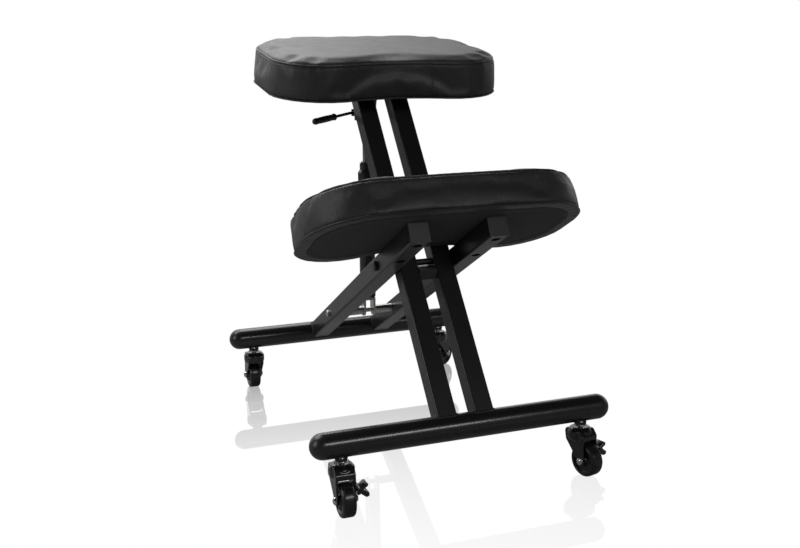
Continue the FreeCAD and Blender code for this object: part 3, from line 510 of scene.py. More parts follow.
class Finish(Enum):
    """The chair's finishes; each name is also a material slot of the record."""

    bar_paint = PowderCoat("bar_paint", (0.018, 0.018, 0.019), 0.26, 0.35)
    tube_paint = PowderCoat("tube_paint", (0.016, 0.016, 0.0165), 0.34, 0.12, 0.00008)
    strut_paint = PowderCoat("strut_paint", (0.015, 0.015, 0.016), 0.24, 0.3, 0.00003)
    cap_plastic = Moulding("cap_plastic", (0.020, 0.020, 0.021), 0.30, 1500.0, 0.00003, 0.15)
    caster_plastic = Moulding("caster_plastic", (0.012, 0.012, 0.0125), 0.20, 900.0, 0.00004, 0.5)
    wheel_plastic = Moulding("wheel_plastic", (0.016, 0.016, 0.0165), 0.28, 1100.0, 0.00005, 0.2)
    grip_plastic = Moulding("grip_plastic", (0.020, 0.020, 0.021), 0.40, 1800.0, 0.00006)
    nylon = Moulding("nylon", (0.03, 0.03, 0.031), 0.45)
    vinyl = GrainedVinyl("vinyl", (0.022, 0.022, 0.023))
    plywood = Plywood("plywood", (0.55, 0.42, 0.28))
    dust_cloth = BondedCloth("dust_cloth", (0.018, 0.018, 0.019))
    thread = Thread("thread", (0.016, 0.016, 0.017))
    zinc = Plating("zinc", (0.60, 0.60, 0.585), 0.30)
    chrome = Plating("chrome", (0.74, 0.74, 0.75), 0.12, 0.03)
    dark_steel = Plating("dark_steel", (0.05, 0.05, 0.052), 0.36)
    floor = StudioFloor("floor", (0.35, 0.35, 0.35), 0.62)

    def material(self) -> bpy.types.Material:
        """The finish's material, built on first use."""
        return bpy.data.materials.get(self.value.name + "_finish") or self._build()

    def _build(self) -> bpy.types.Material:
        """Make the material under its own name."""
        made = self.value.make()
        made.name = self.value.name + "_finish"
        return made


# ---- the bench: modelling as by hand -----------------------------------------------------

Ring = List[Vector]


class Bench:
    """Modelling steps that several pieces share."""

    @staticmethod
    def clear() -> None:
        """Leave edit mode and deselect everything."""
        if bpy.context.object is not None and bpy.context.object.mode != "OBJECT":
            bpy.ops.object.mode_set(mode="OBJECT")
        bpy.ops.object.select_all(action="DESELECT")

    @staticmethod
    def take(piece: bpy.types.Object) -> None:
        """Select one piece alone and make it active."""
        Bench.clear()
        piece.select_set(True)
        bpy.context.view_layer.objects.active = piece

    @staticmethod
    def loft(name: str, rings: Sequence[Ring], loop: bool = False) -> bpy.types.Object:
        """Extrude a ring of vertices through a row of rings.

        Args:
            name: the piece's name.
            rings: rings of equal count, from one end to the other.
            loop: join the last ring to the first instead of closing the ends.

        Returns:
            The new piece.
        """
        Bench.clear()
        count = len(rings[0])
        bpy.ops.mesh.primitive_circle_add(vertices=count, radius=0.1, fill_type="NOTHING",
                                          enter_editmode=True)
        piece = bpy.context.object
        piece.name = name
        piece.data.name = name
        mesh = bmesh.from_edit_mesh(piece.data)
        mesh.verts.ensure_lookup_table()
        for vertex, spot in zip(mesh.verts, rings[0]):
            vertex.co = spot
        bmesh.update_edit_mesh(piece.data)
        bpy.ops.mesh.select_all(action="SELECT")
        rest = list(rings[1:]) + ([rings[0]] if loop else [])
        for ring in rest:
            bpy.ops.mesh.extrude_region_move(TRANSFORM_OT_translate={"value": (0.0, 0.0, 0.0)})
            mesh = bmesh.from_edit_mesh(piece.data)
            fresh = sorted((v for v in mesh.verts if v.select), key=lambda v: v.index)
            for vertex, spot in zip(fresh, ring):
                vertex.co = spot
            bmesh.update_edit_mesh(piece.data)
        if not loop:
            bpy.ops.mesh.edge_face_add()
            mesh = bmesh.from_edit_mesh(piece.data)
            mesh.verts.ensure_lookup_table()
            for vertex in mesh.verts:
                vertex.select_set(vertex.index < count)
            mesh.select_flush(True)
            bmesh.update_edit_mesh(piece.data)
            bpy.ops.mesh.edge_face_add()
        bpy.ops.mesh.select_all(action="SELECT")
        bpy.ops.mesh.remove_doubles(threshold=1e-6)
        bpy.ops.mesh.normals_make_consistent(inside=False)
        bpy.ops.object.mode_set(mode="OBJECT")
        return piece

    @staticmethod
    def turned(name: str, profile: Sequence[Tuple[float, float]], steps: int = 48,
               loop: bool = False, place: Matrix = Matrix.Identity(4)) -> bpy.types.Object:
        """Turn a profile about Z, as on a lathe.

        Args:
            name: the piece's name.
            profile: (radius, height) points in metres.
            steps: sides round the axis.
            loop: the profile closes on itself, as for a washer.
            place: where the turned piece goes.

        Returns:
            The new piece.
        """
        rings = []
        for radius, height in profile:
            rings.append([place @ Vector((radius * math.cos(TURN * k / steps),
                                          radius * math.sin(TURN * k / steps), height))
                          for k in range(steps)])
        return Bench.loft(name, rings, loop)

    @staticmethod
    def modify(piece: bpy.types.Object, kind: str, **settings: Any) -> None:
        """Add a modifier with its settings and apply it.

        Args:
            piece: the piece to finish.
            kind: modifier type.
            settings: the modifier's own attributes.
        """
        Bench.take(piece)
        bpy.ops.object.modifier_add(type=kind)
        modifier = piece.modifiers[-1]
        for key, setting in settings.items():
            setattr(modifier, key, setting)
        bpy.ops.object.modifier_apply(modifier=modifier.name)

    @staticmethod
    def bevel(piece: bpy.types.Object, width: float, segments: int = 3, angle: float = 35) -> None:
        """Round the sharp edges of a piece."""
        Bench.modify(piece, "BEVEL", width=width, segments=segments, limit_method="ANGLE",
                     angle_limit=math.radians(angle), harden_normals=False)

    @staticmethod
    def smooth(piece: bpy.types.Object, angle: float = 40.0) -> None:
        """Shade smooth up to an angle."""
        Bench.take(piece)
        bpy.ops.object.shade_smooth_by_angle(angle=math.radians(angle))

    @staticmethod
    def join(name: str, pieces: Sequence[bpy.types.Object]) -> bpy.types.Object:
        """Join meshes into one piece.

        Args:
            name: the joined piece's name.
            pieces: what is joined.

        Returns:
            The joined piece.
        """
        Bench.take(pieces[0])
        for piece in pieces[1:]:
            piece.select_set(True)
        if len(pieces) > 1:
            bpy.ops.object.join()
        joined = bpy.context.view_layer.objects.active
        joined.name = name
        joined.data.name = name
        return joined

    @staticmethod
    def copy(piece: bpy.types.Object, name: str, place: Matrix) -> bpy.types.Object:
        """Copy a piece with its own mesh and set the copy down elsewhere.

        Args:
            piece: what is copied.
            name: the copy's name.
            place: the move, written into the copy's mesh.

        Returns:
            The copy.
        """
        Bench.take(piece)
        bpy.ops.object.duplicate(linked=False)
        twin = bpy.context.object
        twin.name = name
        twin.data.name = name
        twin.matrix_world = place
        bpy.ops.object.transform_apply(location=True, rotation=True, scale=True)
        return twin

    @staticmethod
    def tube(name: str, path: Sequence[Vector], radii: Sequence[float], sides: int,
             closed: bool) -> bpy.types.Object:
        """Sweep a round section along a path.

        Args:
            name: the piece's name.
            path: points of the centre line.
            radii: radius at each point.
            sides: faces round the section, a multiple of 4.
            closed: whether the path closes on itself.

        Returns:
            The new piece.
        """
        Bench.clear()
        curve = bpy.data.curves.new(name, "CURVE")
        curve.dimensions = "3D"
        curve.bevel_depth = 1.0
        curve.bevel_resolution = max(0, sides // 4 - 1) * 2 if sides > 4 else 0
        curve.use_fill_caps = not closed
        spline = curve.splines.new("POLY")
        spline.points.add(len(path) - 1)
        for point, spot, radius in zip(spline.points, path, radii):
            point.co = (*spot, 1.0)
            point.radius = radius
        spline.use_cyclic_u = closed
        piece = bpy.data.objects.new(name, curve)
        bpy.context.scene.collection.objects.link(piece)
        Bench.take(piece)
        bpy.ops.object.convert(target="MESH")
        piece = bpy.context.object
        Bench.take(piece)
        bpy.ops.object.mode_set(mode="EDIT")
        bpy.ops.mesh.select_all(action="SELECT")
        bpy.ops.mesh.remove_doubles(threshold=1e-6)
        bpy.ops.mesh.normals_make_consistent(inside=False)
        bpy.ops.object.mode_set(mode="OBJECT")
        return piece

    @staticmethod
    def deliver(piece: bpy.types.Object, finish: Finish, slot: str, body: str,
                replaces: Sequence[str] = ()) -> bpy.types.Object:
        """Dress a finished piece and hand it to its body.

        Args:
            piece: the finished piece.
            finish: its finish.
            slot: the record's material slot; not used.
            body: the body it rides on.
            replaces: CAD nodes it stands for.

        Returns:
            The piece.
        """
        Bench.clear()
        piece.data.materials.clear()
        piece.data.materials.append(finish.material())
        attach(piece, body)
        if replaces:
            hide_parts(*replaces)
        LOG.info("%s: %d faces on %s", piece.name, len(piece.data.polygons), body)
        return piece


def rounded(corners: Sequence[Tuple[float, float]], radius: float,
            steps: int = 4) -> List[Tuple[float, float]]:
    """Round the corners of a flat outline.

    Args:
        corners: the outline's corners.
        radius: fillet radius, cut down where a side is short.
        steps: points on each arc, less one.

    Returns:
        The rounded outline.
    """
    path: List[Tuple[float, float]] = []
    count = len(corners)
    for k, corner in enumerate(corners):
        here = Vector(corner)
        back = Vector(corners[k - 1]) - here
        ahead = Vector(corners[(k + 1) % count]) - here
        half = back.angle(ahead) / 2
        reach = min(radius / math.tan(half), back.length * 0.48, ahead.length * 0.48)
        start, end = here + back.normalized() * reach, here + ahead.normalized() * reach
        for step in range(steps + 1):
            t = step / steps
            spot = start * (1 - t) ** 2 + here * 2 * t * (1 - t) + end * t ** 2
            path.append((spot.x, spot.y))
    return path


def box_centre(node: str) -> Vector:
    """Middle of a CAD node's box."""
    low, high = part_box(node)
    return (Vector(low) + Vector(high)) / 2


# ---- upholstery --------------------------------------------------------------------------

@dataclass
class Pad:
    """One upholstered pad: cushion, seams, stitches, wrapped underside, dust cloth, staples."""

    key: str
    body: str
    tilt: float
    thickness: float
    fill: float
    seam_drop: float
    cap: float
    joint_x: float
    front: float
    low_welt: bool
    edge: float = 7 * MM
    shy: float = 3.5 * MM
    crown_room: float = 4 * MM
    bend: float = 14.0
    calm: int = 4
    frames: int = 20
    voxel: float = 4.6 * MM
    welt: float = 1.7 * MM
    stitch_pitch: float = 5.2 * MM
    count: int = 360
    place: Matrix = field(init=False)
    outline: List[Vector] = field(init=False)

    def __post_init__(self) -> None:
        """Find the pad's own frame and outline from the CAD cushion."""
        node = self.key + "_cushion"
        self.place = (Matrix.Translation(box_centre(node))
                      @ Matrix.Rotation(math.radians(self.tilt), 4, "X"))
        self.outline = self.read_outline(frame["nodes"][node])

    @property
    def low(self) -> float:
        """Height of the board's underside in the pad's frame."""
        return -self.thickness / 2

    def read_outline(self, node: bpy.types.Object) -> List[Vector]:
        """Even points round the CAD cushion's upright wall.

        Args:
            node: the CAD cushion.

        Returns:
            Points in the pad's frame, evenly spaced.
        """
        back = self.place.inverted()
        wall = self.thickness / 2 - 9 * MM
        spots = {}
        for vertex in node.data.vertices:
            spot = back @ vertex.co
            if abs(spot.z - wall) < 0.4 * MM:
                spots[(round(spot.x, 4), round(spot.y, 4))] = Vector((spot.x, spot.y, 0.0))
        ring = sorted(spots.values(), key=lambda s: math.atan2(s.y, s.x))
        return self.even(ring, self.count)

    @staticmethod
    def even(ring: Sequence[Vector], count: int) -> List[Vector]:
        """Resample a closed ring at equal steps.

        Args:
            ring: points of the closed ring.
            count: wanted number of points.

        Returns:
            The new points.
        """
        sides = [(b - a).length for a, b in zip(ring, list(ring[1:]) + [ring[0]])]
        total = sum(sides)
        spots, side, gone = [], 0, 0.0
        for k in range(count):
            target = total * k / count
            while gone + sides[side] < target:
                gone += sides[side]
                side += 1
            share = (target - gone) / sides[side]
            spots.append(ring[side].lerp(ring[(side + 1) % len(ring)], share))
        return spots

    def normals(self) -> List[Vector]:
        """Outward flat normals of the outline."""
        ring = self.outline
        found = []
        for k in range(len(ring)):
            run = ring[(k + 2) % len(ring)] - ring[k - 2]
            found.append(Vector((run.y, -run.x, 0.0)).normalized())
        return found

    def inset(self, distance: float) -> List[Vector]:
        """The outline moved inwards."""
        return [spot - normal * distance for spot, normal in zip(self.outline, self.normals())]

    def build(self) -> None:
        """Make every piece of the pad."""
        cushion = self.build_cushion()
        skin = BVHTree.FromObject(cushion, bpy.context.evaluated_depsgraph_get())
        self.build_seams(skin)
        self.build_joint_seam(skin)
        self.build_wrap()
        self.build_dust_cloth()
        self.build_staples()
        self.settle(cushion)
        Bench.deliver(cushion, Finish.vinyl, "vinyl", self.body, [self.key + "_cushion"])

    def settle(self, piece: bpy.types.Object) -> None:
        """Move a piece from the pad's frame to its place on the chair."""
        Bench.take(piece)
        piece.matrix_world = self.place
        bpy.ops.object.transform_apply(location=True, rotation=True, scale=True)

    def hand_over(self, piece: bpy.types.Object, angle: float, finish: Finish, slot: str,
                  replaces: Sequence[str] = ()) -> None:
        """Settle a piece, shade it smooth up to an angle and deliver it."""
        self.settle(piece)
        Bench.smooth(piece, angle)
        Bench.deliver(piece, finish, slot, self.body, replaces)

    def build_cushion(self) -> bpy.types.Object:
        """Foam block, blown up under its cover and then sewn in at the seams.

        Returns:
            The cushion in the pad's frame.
        """
        base = self.inset(self.shy)
        top = self.thickness / 2 - self.crown_room
        rings = []
        edge = self.edge
        rounds = [(edge * 0.45, 0.0), (edge * 0.12, edge * 0.16), (0.0, edge * 0.5)]
        for inward, rise in rounds:
            rings.append((inward, self.low + rise))
        rings.append((0.0, top - edge))
        for k in range(1, 5):
            angle = math.pi / 2 * k / 4
            rings.append((edge * (1 - math.cos(angle)), top - edge * (1 - math.sin(angle))))
        normals = self.normals()
        lofted = [[spot - normal * inward + Vector((0, 0, height))
                   for spot, normal in zip(base, normals)] for inward, height in rings]
        piece = Bench.loft(self.key + "_cushion_cover", lofted)
        Bench.modify(piece, "REMESH", mode="VOXEL", voxel_size=self.voxel, adaptivity=0.0)
        self.inflate(piece)
        Bench.modify(piece, "SMOOTH", factor=0.5, iterations=self.calm)
        Bench.modify(piece, "SUBSURF", levels=1, render_levels=1)
        self.sew(piece)
        Bench.take(piece)
        bpy.ops.object.shade_smooth()
        return piece

    def inflate(self, piece: bpy.types.Object) -> None:
        """Blow the cover up as cloth, held flat where it lies on the board.

        Args:
            piece: the remeshed block.
        """
        rest = [vertex.co.copy() for vertex in piece.data.vertices]
        held = piece.vertex_groups.new(name="held")
        for index, spot in enumerate(rest):
            depth = spot.z - self.low
            weight = 1.0 if depth < 3.5 * MM else max(0.0, 0.5 - depth / (30 * MM))
            if weight > 0:
                held.add([index], weight, "REPLACE")
        Bench.take(piece)
        bpy.ops.object.modifier_add(type="CLOTH")
        cloth = piece.modifiers[-1]
        cloth.settings.quality = 6
        cloth.settings.mass = 0.3
        cloth.settings.tension_stiffness = 12
        cloth.settings.compression_stiffness = 3
        cloth.settings.shear_stiffness = 6
        cloth.settings.bending_stiffness = self.bend
        cloth.settings.use_pressure = True
        cloth.settings.uniform_pressure_force = 4.0
        cloth.settings.vertex_group_mass = "held"
        cloth.settings.effector_weights.gravity = 0.0
        cloth.collision_settings.use_collision = False
        cloth.collision_settings.use_self_collision = False
        cloth.point_cache.frame_start = 1
        cloth.point_cache.frame_end = self.frames
        scene = bpy.context.scene
        for number in range(1, self.frames + 1):
            scene.frame_set(number)
        bpy.ops.object.modifier_apply(modifier=cloth.name)
        scene.frame_set(1)
        moved = 0.0
        for vertex, spot in zip(piece.data.vertices, rest):
            step = vertex.co - spot
            moved = max(moved, step.length)
            limit = self.cap if step.z > abs(step.x) + abs(step.y) else self.cap * 0.6
            if step.length > limit:
                vertex.co = spot + step.normalized() * limit
        piece.vertex_groups.clear()
        LOG.info("%s swelled by up to %.1f mm", piece.name, moved / MM)

    def seam_height(self) -> float:
        """Height of the upper seam in the pad's frame."""
        return self.thickness / 2 - self.seam_drop

    def sew(self, piece: bpy.types.Object) -> None:
        """Draw the cover in along the seam, and pucker and crease it beside the seams.

        Args:
            piece: the cushion in the pad's frame.
        """
        seam = self.seam_height()
        mesh = piece.data
        normals = [vertex.normal.copy() for vertex in mesh.vertices]
        for vertex, normal in zip(mesh.vertices, normals):
            spot = vertex.co
            side = math.hypot(normal.x, normal.y)
            away = (spot.z - seam) / (2.6 * MM)
            draw = 1.5 * MM * math.exp(-away * away)
            around = math.atan2(spot.y, spot.x)
            run = Vector((math.cos(around) * 9, math.sin(around) * 9, 0.0))
            pucker = noise.noise(run * 3.1 + Vector((0, 0, spot.z * 22)))
            fade = math.exp(-abs(spot.z - seam) / (11 * MM))
            drape = noise.noise(Vector((spot.x * 13, spot.y * 13, spot.z * 34)) + run * 0.1)
            small = noise.noise(Vector((spot.x * 48, spot.y * 48, spot.z * 70)))
            foot = math.exp(-(spot.z - self.low) / (9 * MM))
            tuck = noise.noise(run * 6.3) * foot * 0.8 * MM
            flat = 1.0 if spot.z > self.low + 2 * MM else 0.0
            shift = (-draw * side + pucker * fade * 0.8 * MM * side + drape * side * 0.9 * MM
                     + small * 0.16 * MM + tuck * side
                     + noise.noise(Vector((spot.x * 9, spot.y * 9, 3.0))) * (1 - side) * 0.6 * MM)
            vertex.co = spot + normal * shift * flat
        mesh.update()

    def trace(self, skin: BVHTree, height: float, out: float) -> List[Vector]:
        """Line on the cushion's side at one height.

        Args:
            skin: the cushion's surface.
            height: height in the pad's frame.
            out: distance that the line stands off the surface.

        Returns:
            Points round the cushion.
        """
        line = []
        for spot, normal in zip(self.outline, self.normals()):
            start = spot + normal * 0.04
            start.z = height
            hit = skin.ray_cast(start, -normal, 0.2)[0]
            found = hit if hit is not None else Vector((spot.x, spot.y, height))
            line.append(found + normal * out)
        return line

    def build_seams(self, skin: BVHTree) -> None:
        """Upper welt, the stitches under it, and the lower welt where the pad has one."""
        seam = self.seam_height()
        line = self.trace(skin, seam, 0.2 * MM)
        self.add_welt(self.key + "_upper_welt", line, self.welt)
        if self.low_welt:
            low = self.trace(skin, self.low + 1.6 * MM, 0.3 * MM)
            self.add_welt(self.key + "_lower_welt", low, self.welt * 0.85)
        self.add_stitches(self.key + "_seam_stitches",
                          [self.trace(skin, seam - 4.2 * MM, 0.1 * MM)])

    def add_welt(self, name: str, line: List[Vector], radius: float) -> None:
        """Covered cord along a line.

        Args:
            name: the piece's name.
            line: closed line of points.
            radius: the cord's radius.
        """
        radii = [radius * (1 + 0.10 * noise.noise(spot * 160)) for spot in line]
        piece = Bench.tube(name, line, radii, 12, True)
        self.hand_over(piece, 80, Finish.vinyl, "vinyl")

    def add_stitches(self, name: str, rows: Sequence[List[Vector]], closed: bool = True) -> None:
        """Rows of thread stitches lying on the cover.

        Args:
            name: the piece's name.
            rows: lines that the stitches follow.
            closed: whether each line is a loop.
        """
        spots: List[Tuple[Vector, Vector]] = []
        for row in rows:
            ends = list(row) + ([row[0]] if closed else [])
            length = sum((b - a).length for a, b in zip(ends, ends[1:]))
            ring = self.even(row, max(2, int(length / self.stitch_pitch))) if closed else row
            for k, spot in enumerate(ring):
                ahead = ring[(k + 1) % len(ring)] if closed else ring[min(k + 1, len(ring) - 1)]
                before = ring[k - 1] if closed or k > 0 else ring[0]
                spots.append((spot, (ahead - before).normalized()))
        stitch = self.one_stitch()
        copies = []
        for spot, way in spots:
            turn = way.to_track_quat("X", "Z").to_matrix().to_4x4()
            copies.append(Bench.copy(stitch, name, Matrix.Translation(spot) @ turn))
        bpy.data.objects.remove(stitch)
        piece = Bench.join(name, copies)
        self.hand_over(piece, 60, Finish.thread, "vinyl")

    @staticmethod
    def one_stitch() -> bpy.types.Object:
        """One stitch: a short thread that dips in at both ends.

        Returns:
            The stitch at the origin, along X.
        """
        rings = []
        for along, drop, radius in ((-1.9, -0.5, 0.18), (-1.2, 0.02, 0.42), (1.2, 0.02, 0.42),
                                    (1.9, -0.5, 0.18)):
            rings.append([Vector((along, radius * math.cos(TURN * k / 6),
                                  drop + radius * math.sin(TURN * k / 6))) * MM
                          for k in range(6)])
        return Bench.loft("stitch", rings)

    def from_joint(self, k: int) -> float:
        """Distance of an outline point from the upright seam, the far side put last."""
        point = self.outline[k]
        far_side = 0 if point.y * self.front > 0 else 9
        return abs(point.x - self.joint_x) + far_side

    def build_joint_seam(self, skin: BVHTree) -> None:
        """Upright seam where the side panel's ends meet, with stitches on both sides."""
        nearest = min(range(len(self.outline)), key=self.from_joint)
        spot, normal = self.outline[nearest], self.normals()[nearest]
        tangent = Vector((-normal.y, normal.x, 0.0))
        top, low = self.seam_height() - 2 * MM, self.low + 5 * MM
        fold: List[Vector] = []
        sides: List[List[Vector]] = [[], []]
        steps = 11
        for k in range(steps):
            height = low + (top - low) * k / (steps - 1)
            for target, shift, out in ((fold, 0.0, -0.15), (sides[0], -2.6 * MM, 0.05),
                                       (sides[1], 2.6 * MM, 0.05)):
                start = spot + normal * 0.04 + tangent * shift
                start.z = height
                hit = skin.ray_cast(start, -normal, 0.2)[0]
                if hit is not None:
                    target.append(hit + normal * out * MM)
        radii = [0.9 * MM] * len(fold)
        piece = Bench.tube(self.key + "_joint_fold", fold, radii, 8, False)
        self.hand_over(piece, 80, Finish.vinyl, "vinyl")
        self.add_stitches(self.key + "_joint_stitches", sides, False)

    def build_wrap(self) -> None:
        """Cover pulled round under the board, pleated round the corners."""
        rings = []
        normals = self.normals()
        bends = self.bending()
        insets = (3.0, 5.0, 8.0, 12.0, 16.0, 20.0, 24.0, 28.0)
        for inset in insets:
            ring = []
            for k, (spot, normal) in enumerate(zip(self.outline, normals)):
                pleat = math.sin(k * 0.95 + 1.3 * noise.noise(spot * 30)) * bends[k]
                ripple = noise.noise(Vector((spot.x * 60, spot.y * 60, inset * 0.15)))
                swell = math.sin(math.pi * min(1.0, (inset - 3.0) / 22.0))
                drop = 0.30 + 0.35 * swell + swell * (0.32 * pleat + 0.16 * ripple)
                if inset < 4:
                    drop = -1.2
                ring.append(spot - normal * inset * MM + Vector((0, 0, self.low - drop * MM)))
            rings.append(ring)
        for inset, rise in ((28.0, 0.9), (3.6, 2.2)):
            rings.append([spot - normal * inset * MM + Vector((0, 0, self.low + rise * MM))
                          for spot, normal in zip(self.outline, normals)])
        piece = Bench.loft(self.key + "_underside_wrap", rings, True)
        self.hand_over(piece, 50, Finish.vinyl, "vinyl")

    def bending(self) -> List[float]:
        """How sharply the outline bends at each point, from 0.15 to 1."""
        ring = self.outline
        count = len(ring)
        values = []
        for k in range(count):
            back = ring[k] - ring[k - 8]
            ahead = ring[(k + 8) % count] - ring[k]
            values.append(min(1.0, 0.15 + back.angle(ahead) / 0.45))
        return values

    def build_dust_cloth(self) -> None:
        """Dust cloth with a folded hem, stapled flat under the board."""
        lower = [[Vector((spot.x * share, spot.y * share, self.low - 0.6 * MM))
                  for spot in self.inset(62 * MM)] for share in (0.05, 0.3, 0.6)]
        for inset, drop in ((62.0, 0.6), (45.0, 0.62), (29.0, 0.70), (28.0, 0.95), (24.0, 0.98),
                            (21.3, 0.75), (21.0, 0.4)):
            lower.append([Vector((spot.x, spot.y, self.low - drop * MM
                                  - 0.05 * MM * noise.noise(spot * 40)))
                          for spot in self.inset(inset * MM)])
        upper = [[Vector((spot.x, spot.y, self.low - 0.3 * MM)) for spot in ring]
                 for ring in (lower[-1], lower[3], lower[0])]
        piece = Bench.loft(self.key + "_dust_cloth", lower + upper)
        self.hand_over(piece, 50, Finish.dust_cloth, "dust_cloth", [self.key + "_dust_cover"])
        rim = self.inset(21 * MM)
        area = abs(sum(a.x * b.y - b.x * a.y for a, b in zip(rim, rim[1:] + rim[:1]))) / 2

    def build_staples(self) -> None:
        """Wire staples through the hem of the dust cloth."""
        Bench.clear()
        bpy.ops.mesh.primitive_cube_add(size=1.0)
        staple = bpy.context.object
        staple.scale = (10 * MM, 1.1 * MM, 0.5 * MM)
        bpy.ops.object.transform_apply(location=True, rotation=True, scale=True)
        Bench.bevel(staple, 0.22 * MM, 2)
        line = self.even(self.inset(25.5 * MM), int(len(self.outline) / 9))
        copies = []
        for k, spot in enumerate(line):
            way = line[(k + 1) % len(line)] - line[k - 1]
            angle = math.atan2(way.y, way.x) + 0.22 * noise.noise(spot * 70)
            put = Matrix.Translation(spot + Vector((0, 0, self.low - 1.0 * MM)))
            copies.append(Bench.copy(staple, "staple", put @ Matrix.Rotation(angle, 4, "Z")))
        bpy.data.objects.remove(staple)
        piece = Bench.join(self.key + "_staples", copies)
        self.settle(piece)
        Bench.deliver(piece, Finish.dark_steel, "dark_steel", self.body)


# ---- steelwork ---------------------------------------------------------------------------

@dataclass
class Welds:
    """Weld beads where the square tubes meet the base bars and the seat plate."""

    half_tube: float = 15 * MM
    corner: float = 3 * MM
    bead: float = 1.9 * MM
    bar_radius: float = 19 * MM
    seat_tube_x: float = 29 * MM
    knee_tube_x: float = 60 * MM
    seat_lean: float = 38.7
    knee_slope: float = 27.1165
    seat_tilt: float = 8.5
    steps: int = 132

    def build(self) -> None:
        """Make all the beads."""
        lean, slope = math.radians(self.seat_lean), math.radians(self.knee_slope)
        up_seat = Vector((0, math.sin(lean), math.cos(lean)))
        up_knee = Vector((0, -math.cos(slope), math.sin(slope)))
        front, rear = box_centre("front_base_bar"), box_centre("rear_base_bar")
        tilt = math.radians(self.seat_tilt)
        square = Vector((0, -math.sin(tilt), math.cos(tilt)))
        plate = box_centre("seat_plate") - square * 2 * MM
        for side, word in ((-1, "left"), (1, "right")):
            foot = front + Vector((side * self.seat_tube_x, 0, 0))
            self.bead_round(f"seat_tube_foot_weld_{word}", "seat_frame", foot, up_seat,
                            self.to_bar)
            self.bead_round(f"seat_tube_top_weld_{word}", "seat_frame", foot, up_seat,
                            lambda v, n: (plate - foot - n * v).dot(square) / up_seat.dot(square))
            foot = rear + Vector((side * self.knee_tube_x, 0, 0))
            self.bead_round(f"knee_tube_foot_weld_{word}", "knee_frame", foot, up_knee,
                            self.to_bar)

    def to_bar(self, across: float, _: Vector) -> float:
        """Distance from the bar's axis to its surface, at an offset across the tube."""
        return math.sqrt(self.bar_radius ** 2 - across * across)

    def bead_round(self, name: str, body: str, foot: Vector, way: Vector,
                   reach: Callable[[float, Vector], float]) -> None:
        """One rippled bead round a tube.

        Args:
            name: the bead's name.
            body: the body it rides on.
            foot: point on the tube's centre line.
            way: the tube's direction.
            reach: distance along the tube to the joint, by offset across the tube.
        """
        cross = Vector((1, 0, 0)).cross(way)
        half = self.half_tube
        flat = rounded([(half, half), (-half, half), (-half, -half), (half, -half)], self.corner)
        ring = Pad.even([Vector((u, v, 0)) for u, v in flat], self.steps)
        path = [foot + Vector((1, 0, 0)) * s.x + cross * s.y + way * reach(s.y, cross)
                for s in ring]
        radii = [self.bead * (1 + 0.16 * math.sin(k * 1.15) + 0.14 * noise.noise(s * 110))
                 for k, s in enumerate(path)]
        piece = Bench.tube(name, path, radii, 12, True)
        Bench.smooth(piece, 70)
        Bench.deliver(piece, Finish.tube_paint, "tube_paint", body)


@dataclass
class HexBolt:
    """Hex bolt across the frame, with washers; stands for one CAD bolt or nut."""

    node: str
    body: str
    shank: float
    head: float
    head_height: float
    finish: Finish
    slot: str
    ends: Tuple[int, ...]
    washer: float = 1.1 * MM

    def build(self) -> bpy.types.Object:
        """Make the bolt.

        Returns:
            The finished piece.
        """
        low, high = (Vector(corner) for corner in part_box(self.node))
        middle = (low + high) / 2
        parts = []
        if self.shank > 0:
            length = high.x - low.x - 0.6 * MM
            r = self.shank
            place = self.along_x(Vector((low.x + 0.3 * MM, middle.y, middle.z)), 1)
            parts.append(Bench.turned("shank", [(r - 0.5 * MM, 0), (r, 0.5 * MM),
                                                (r, length - 0.5 * MM), (r - 0.5 * MM, length)],
                                      32, False, place))
        for end in self.ends:
            x = low.x if end < 0 else high.x
            place = self.along_x(Vector((x, middle.y, middle.z)), end)
            parts += self.hexagon(place)
        piece = Bench.join(self.node + "_hex", parts)
        Bench.bevel(piece, 0.25 * MM, 2, 30)
        Bench.smooth(piece, 35)
        return Bench.deliver(piece, self.finish, self.slot, self.body, [self.node])

    @staticmethod
    def along_x(spot: Vector, way: int) -> Matrix:
        """Place whose Z runs along X or against it."""
        return Matrix.Translation(spot) @ Matrix.Rotation(way * math.pi / 2, 4, "Y")

    def hexagon(self, place: Matrix) -> List[bpy.types.Object]:
        """Chamfered hexagon, outer face at the place, with a raised crown.

        Args:
            place: outer end, Z outwards.

        Returns:
            The parts.
        """
        r, h, washer = self.head, self.head_height, self.washer
        body = Bench.turned("hexagon", [(r * 0.96, -h + washer), (r, -h + washer + 0.3 * MM),
                                        (r, -0.9 * MM), (r * 0.86, -0.15 * MM)], 6, False, place)
        crown = Bench.turned("crown", [(r * 0.70, -0.6 * MM), (r * 0.66, 0.0),
                                       (r * 0.60, -0.02 * MM), (r * 0.52, -0.35 * MM)], 32,
                             False, place)
        hole = max(self.shank, r * 0.5)
        disc = Bench.turned("washer", [(hole, -h), (r, -h), (r, -h + washer),
                                       (hole, -h + washer)], 40, True, place)
        return [body, crown, disc]


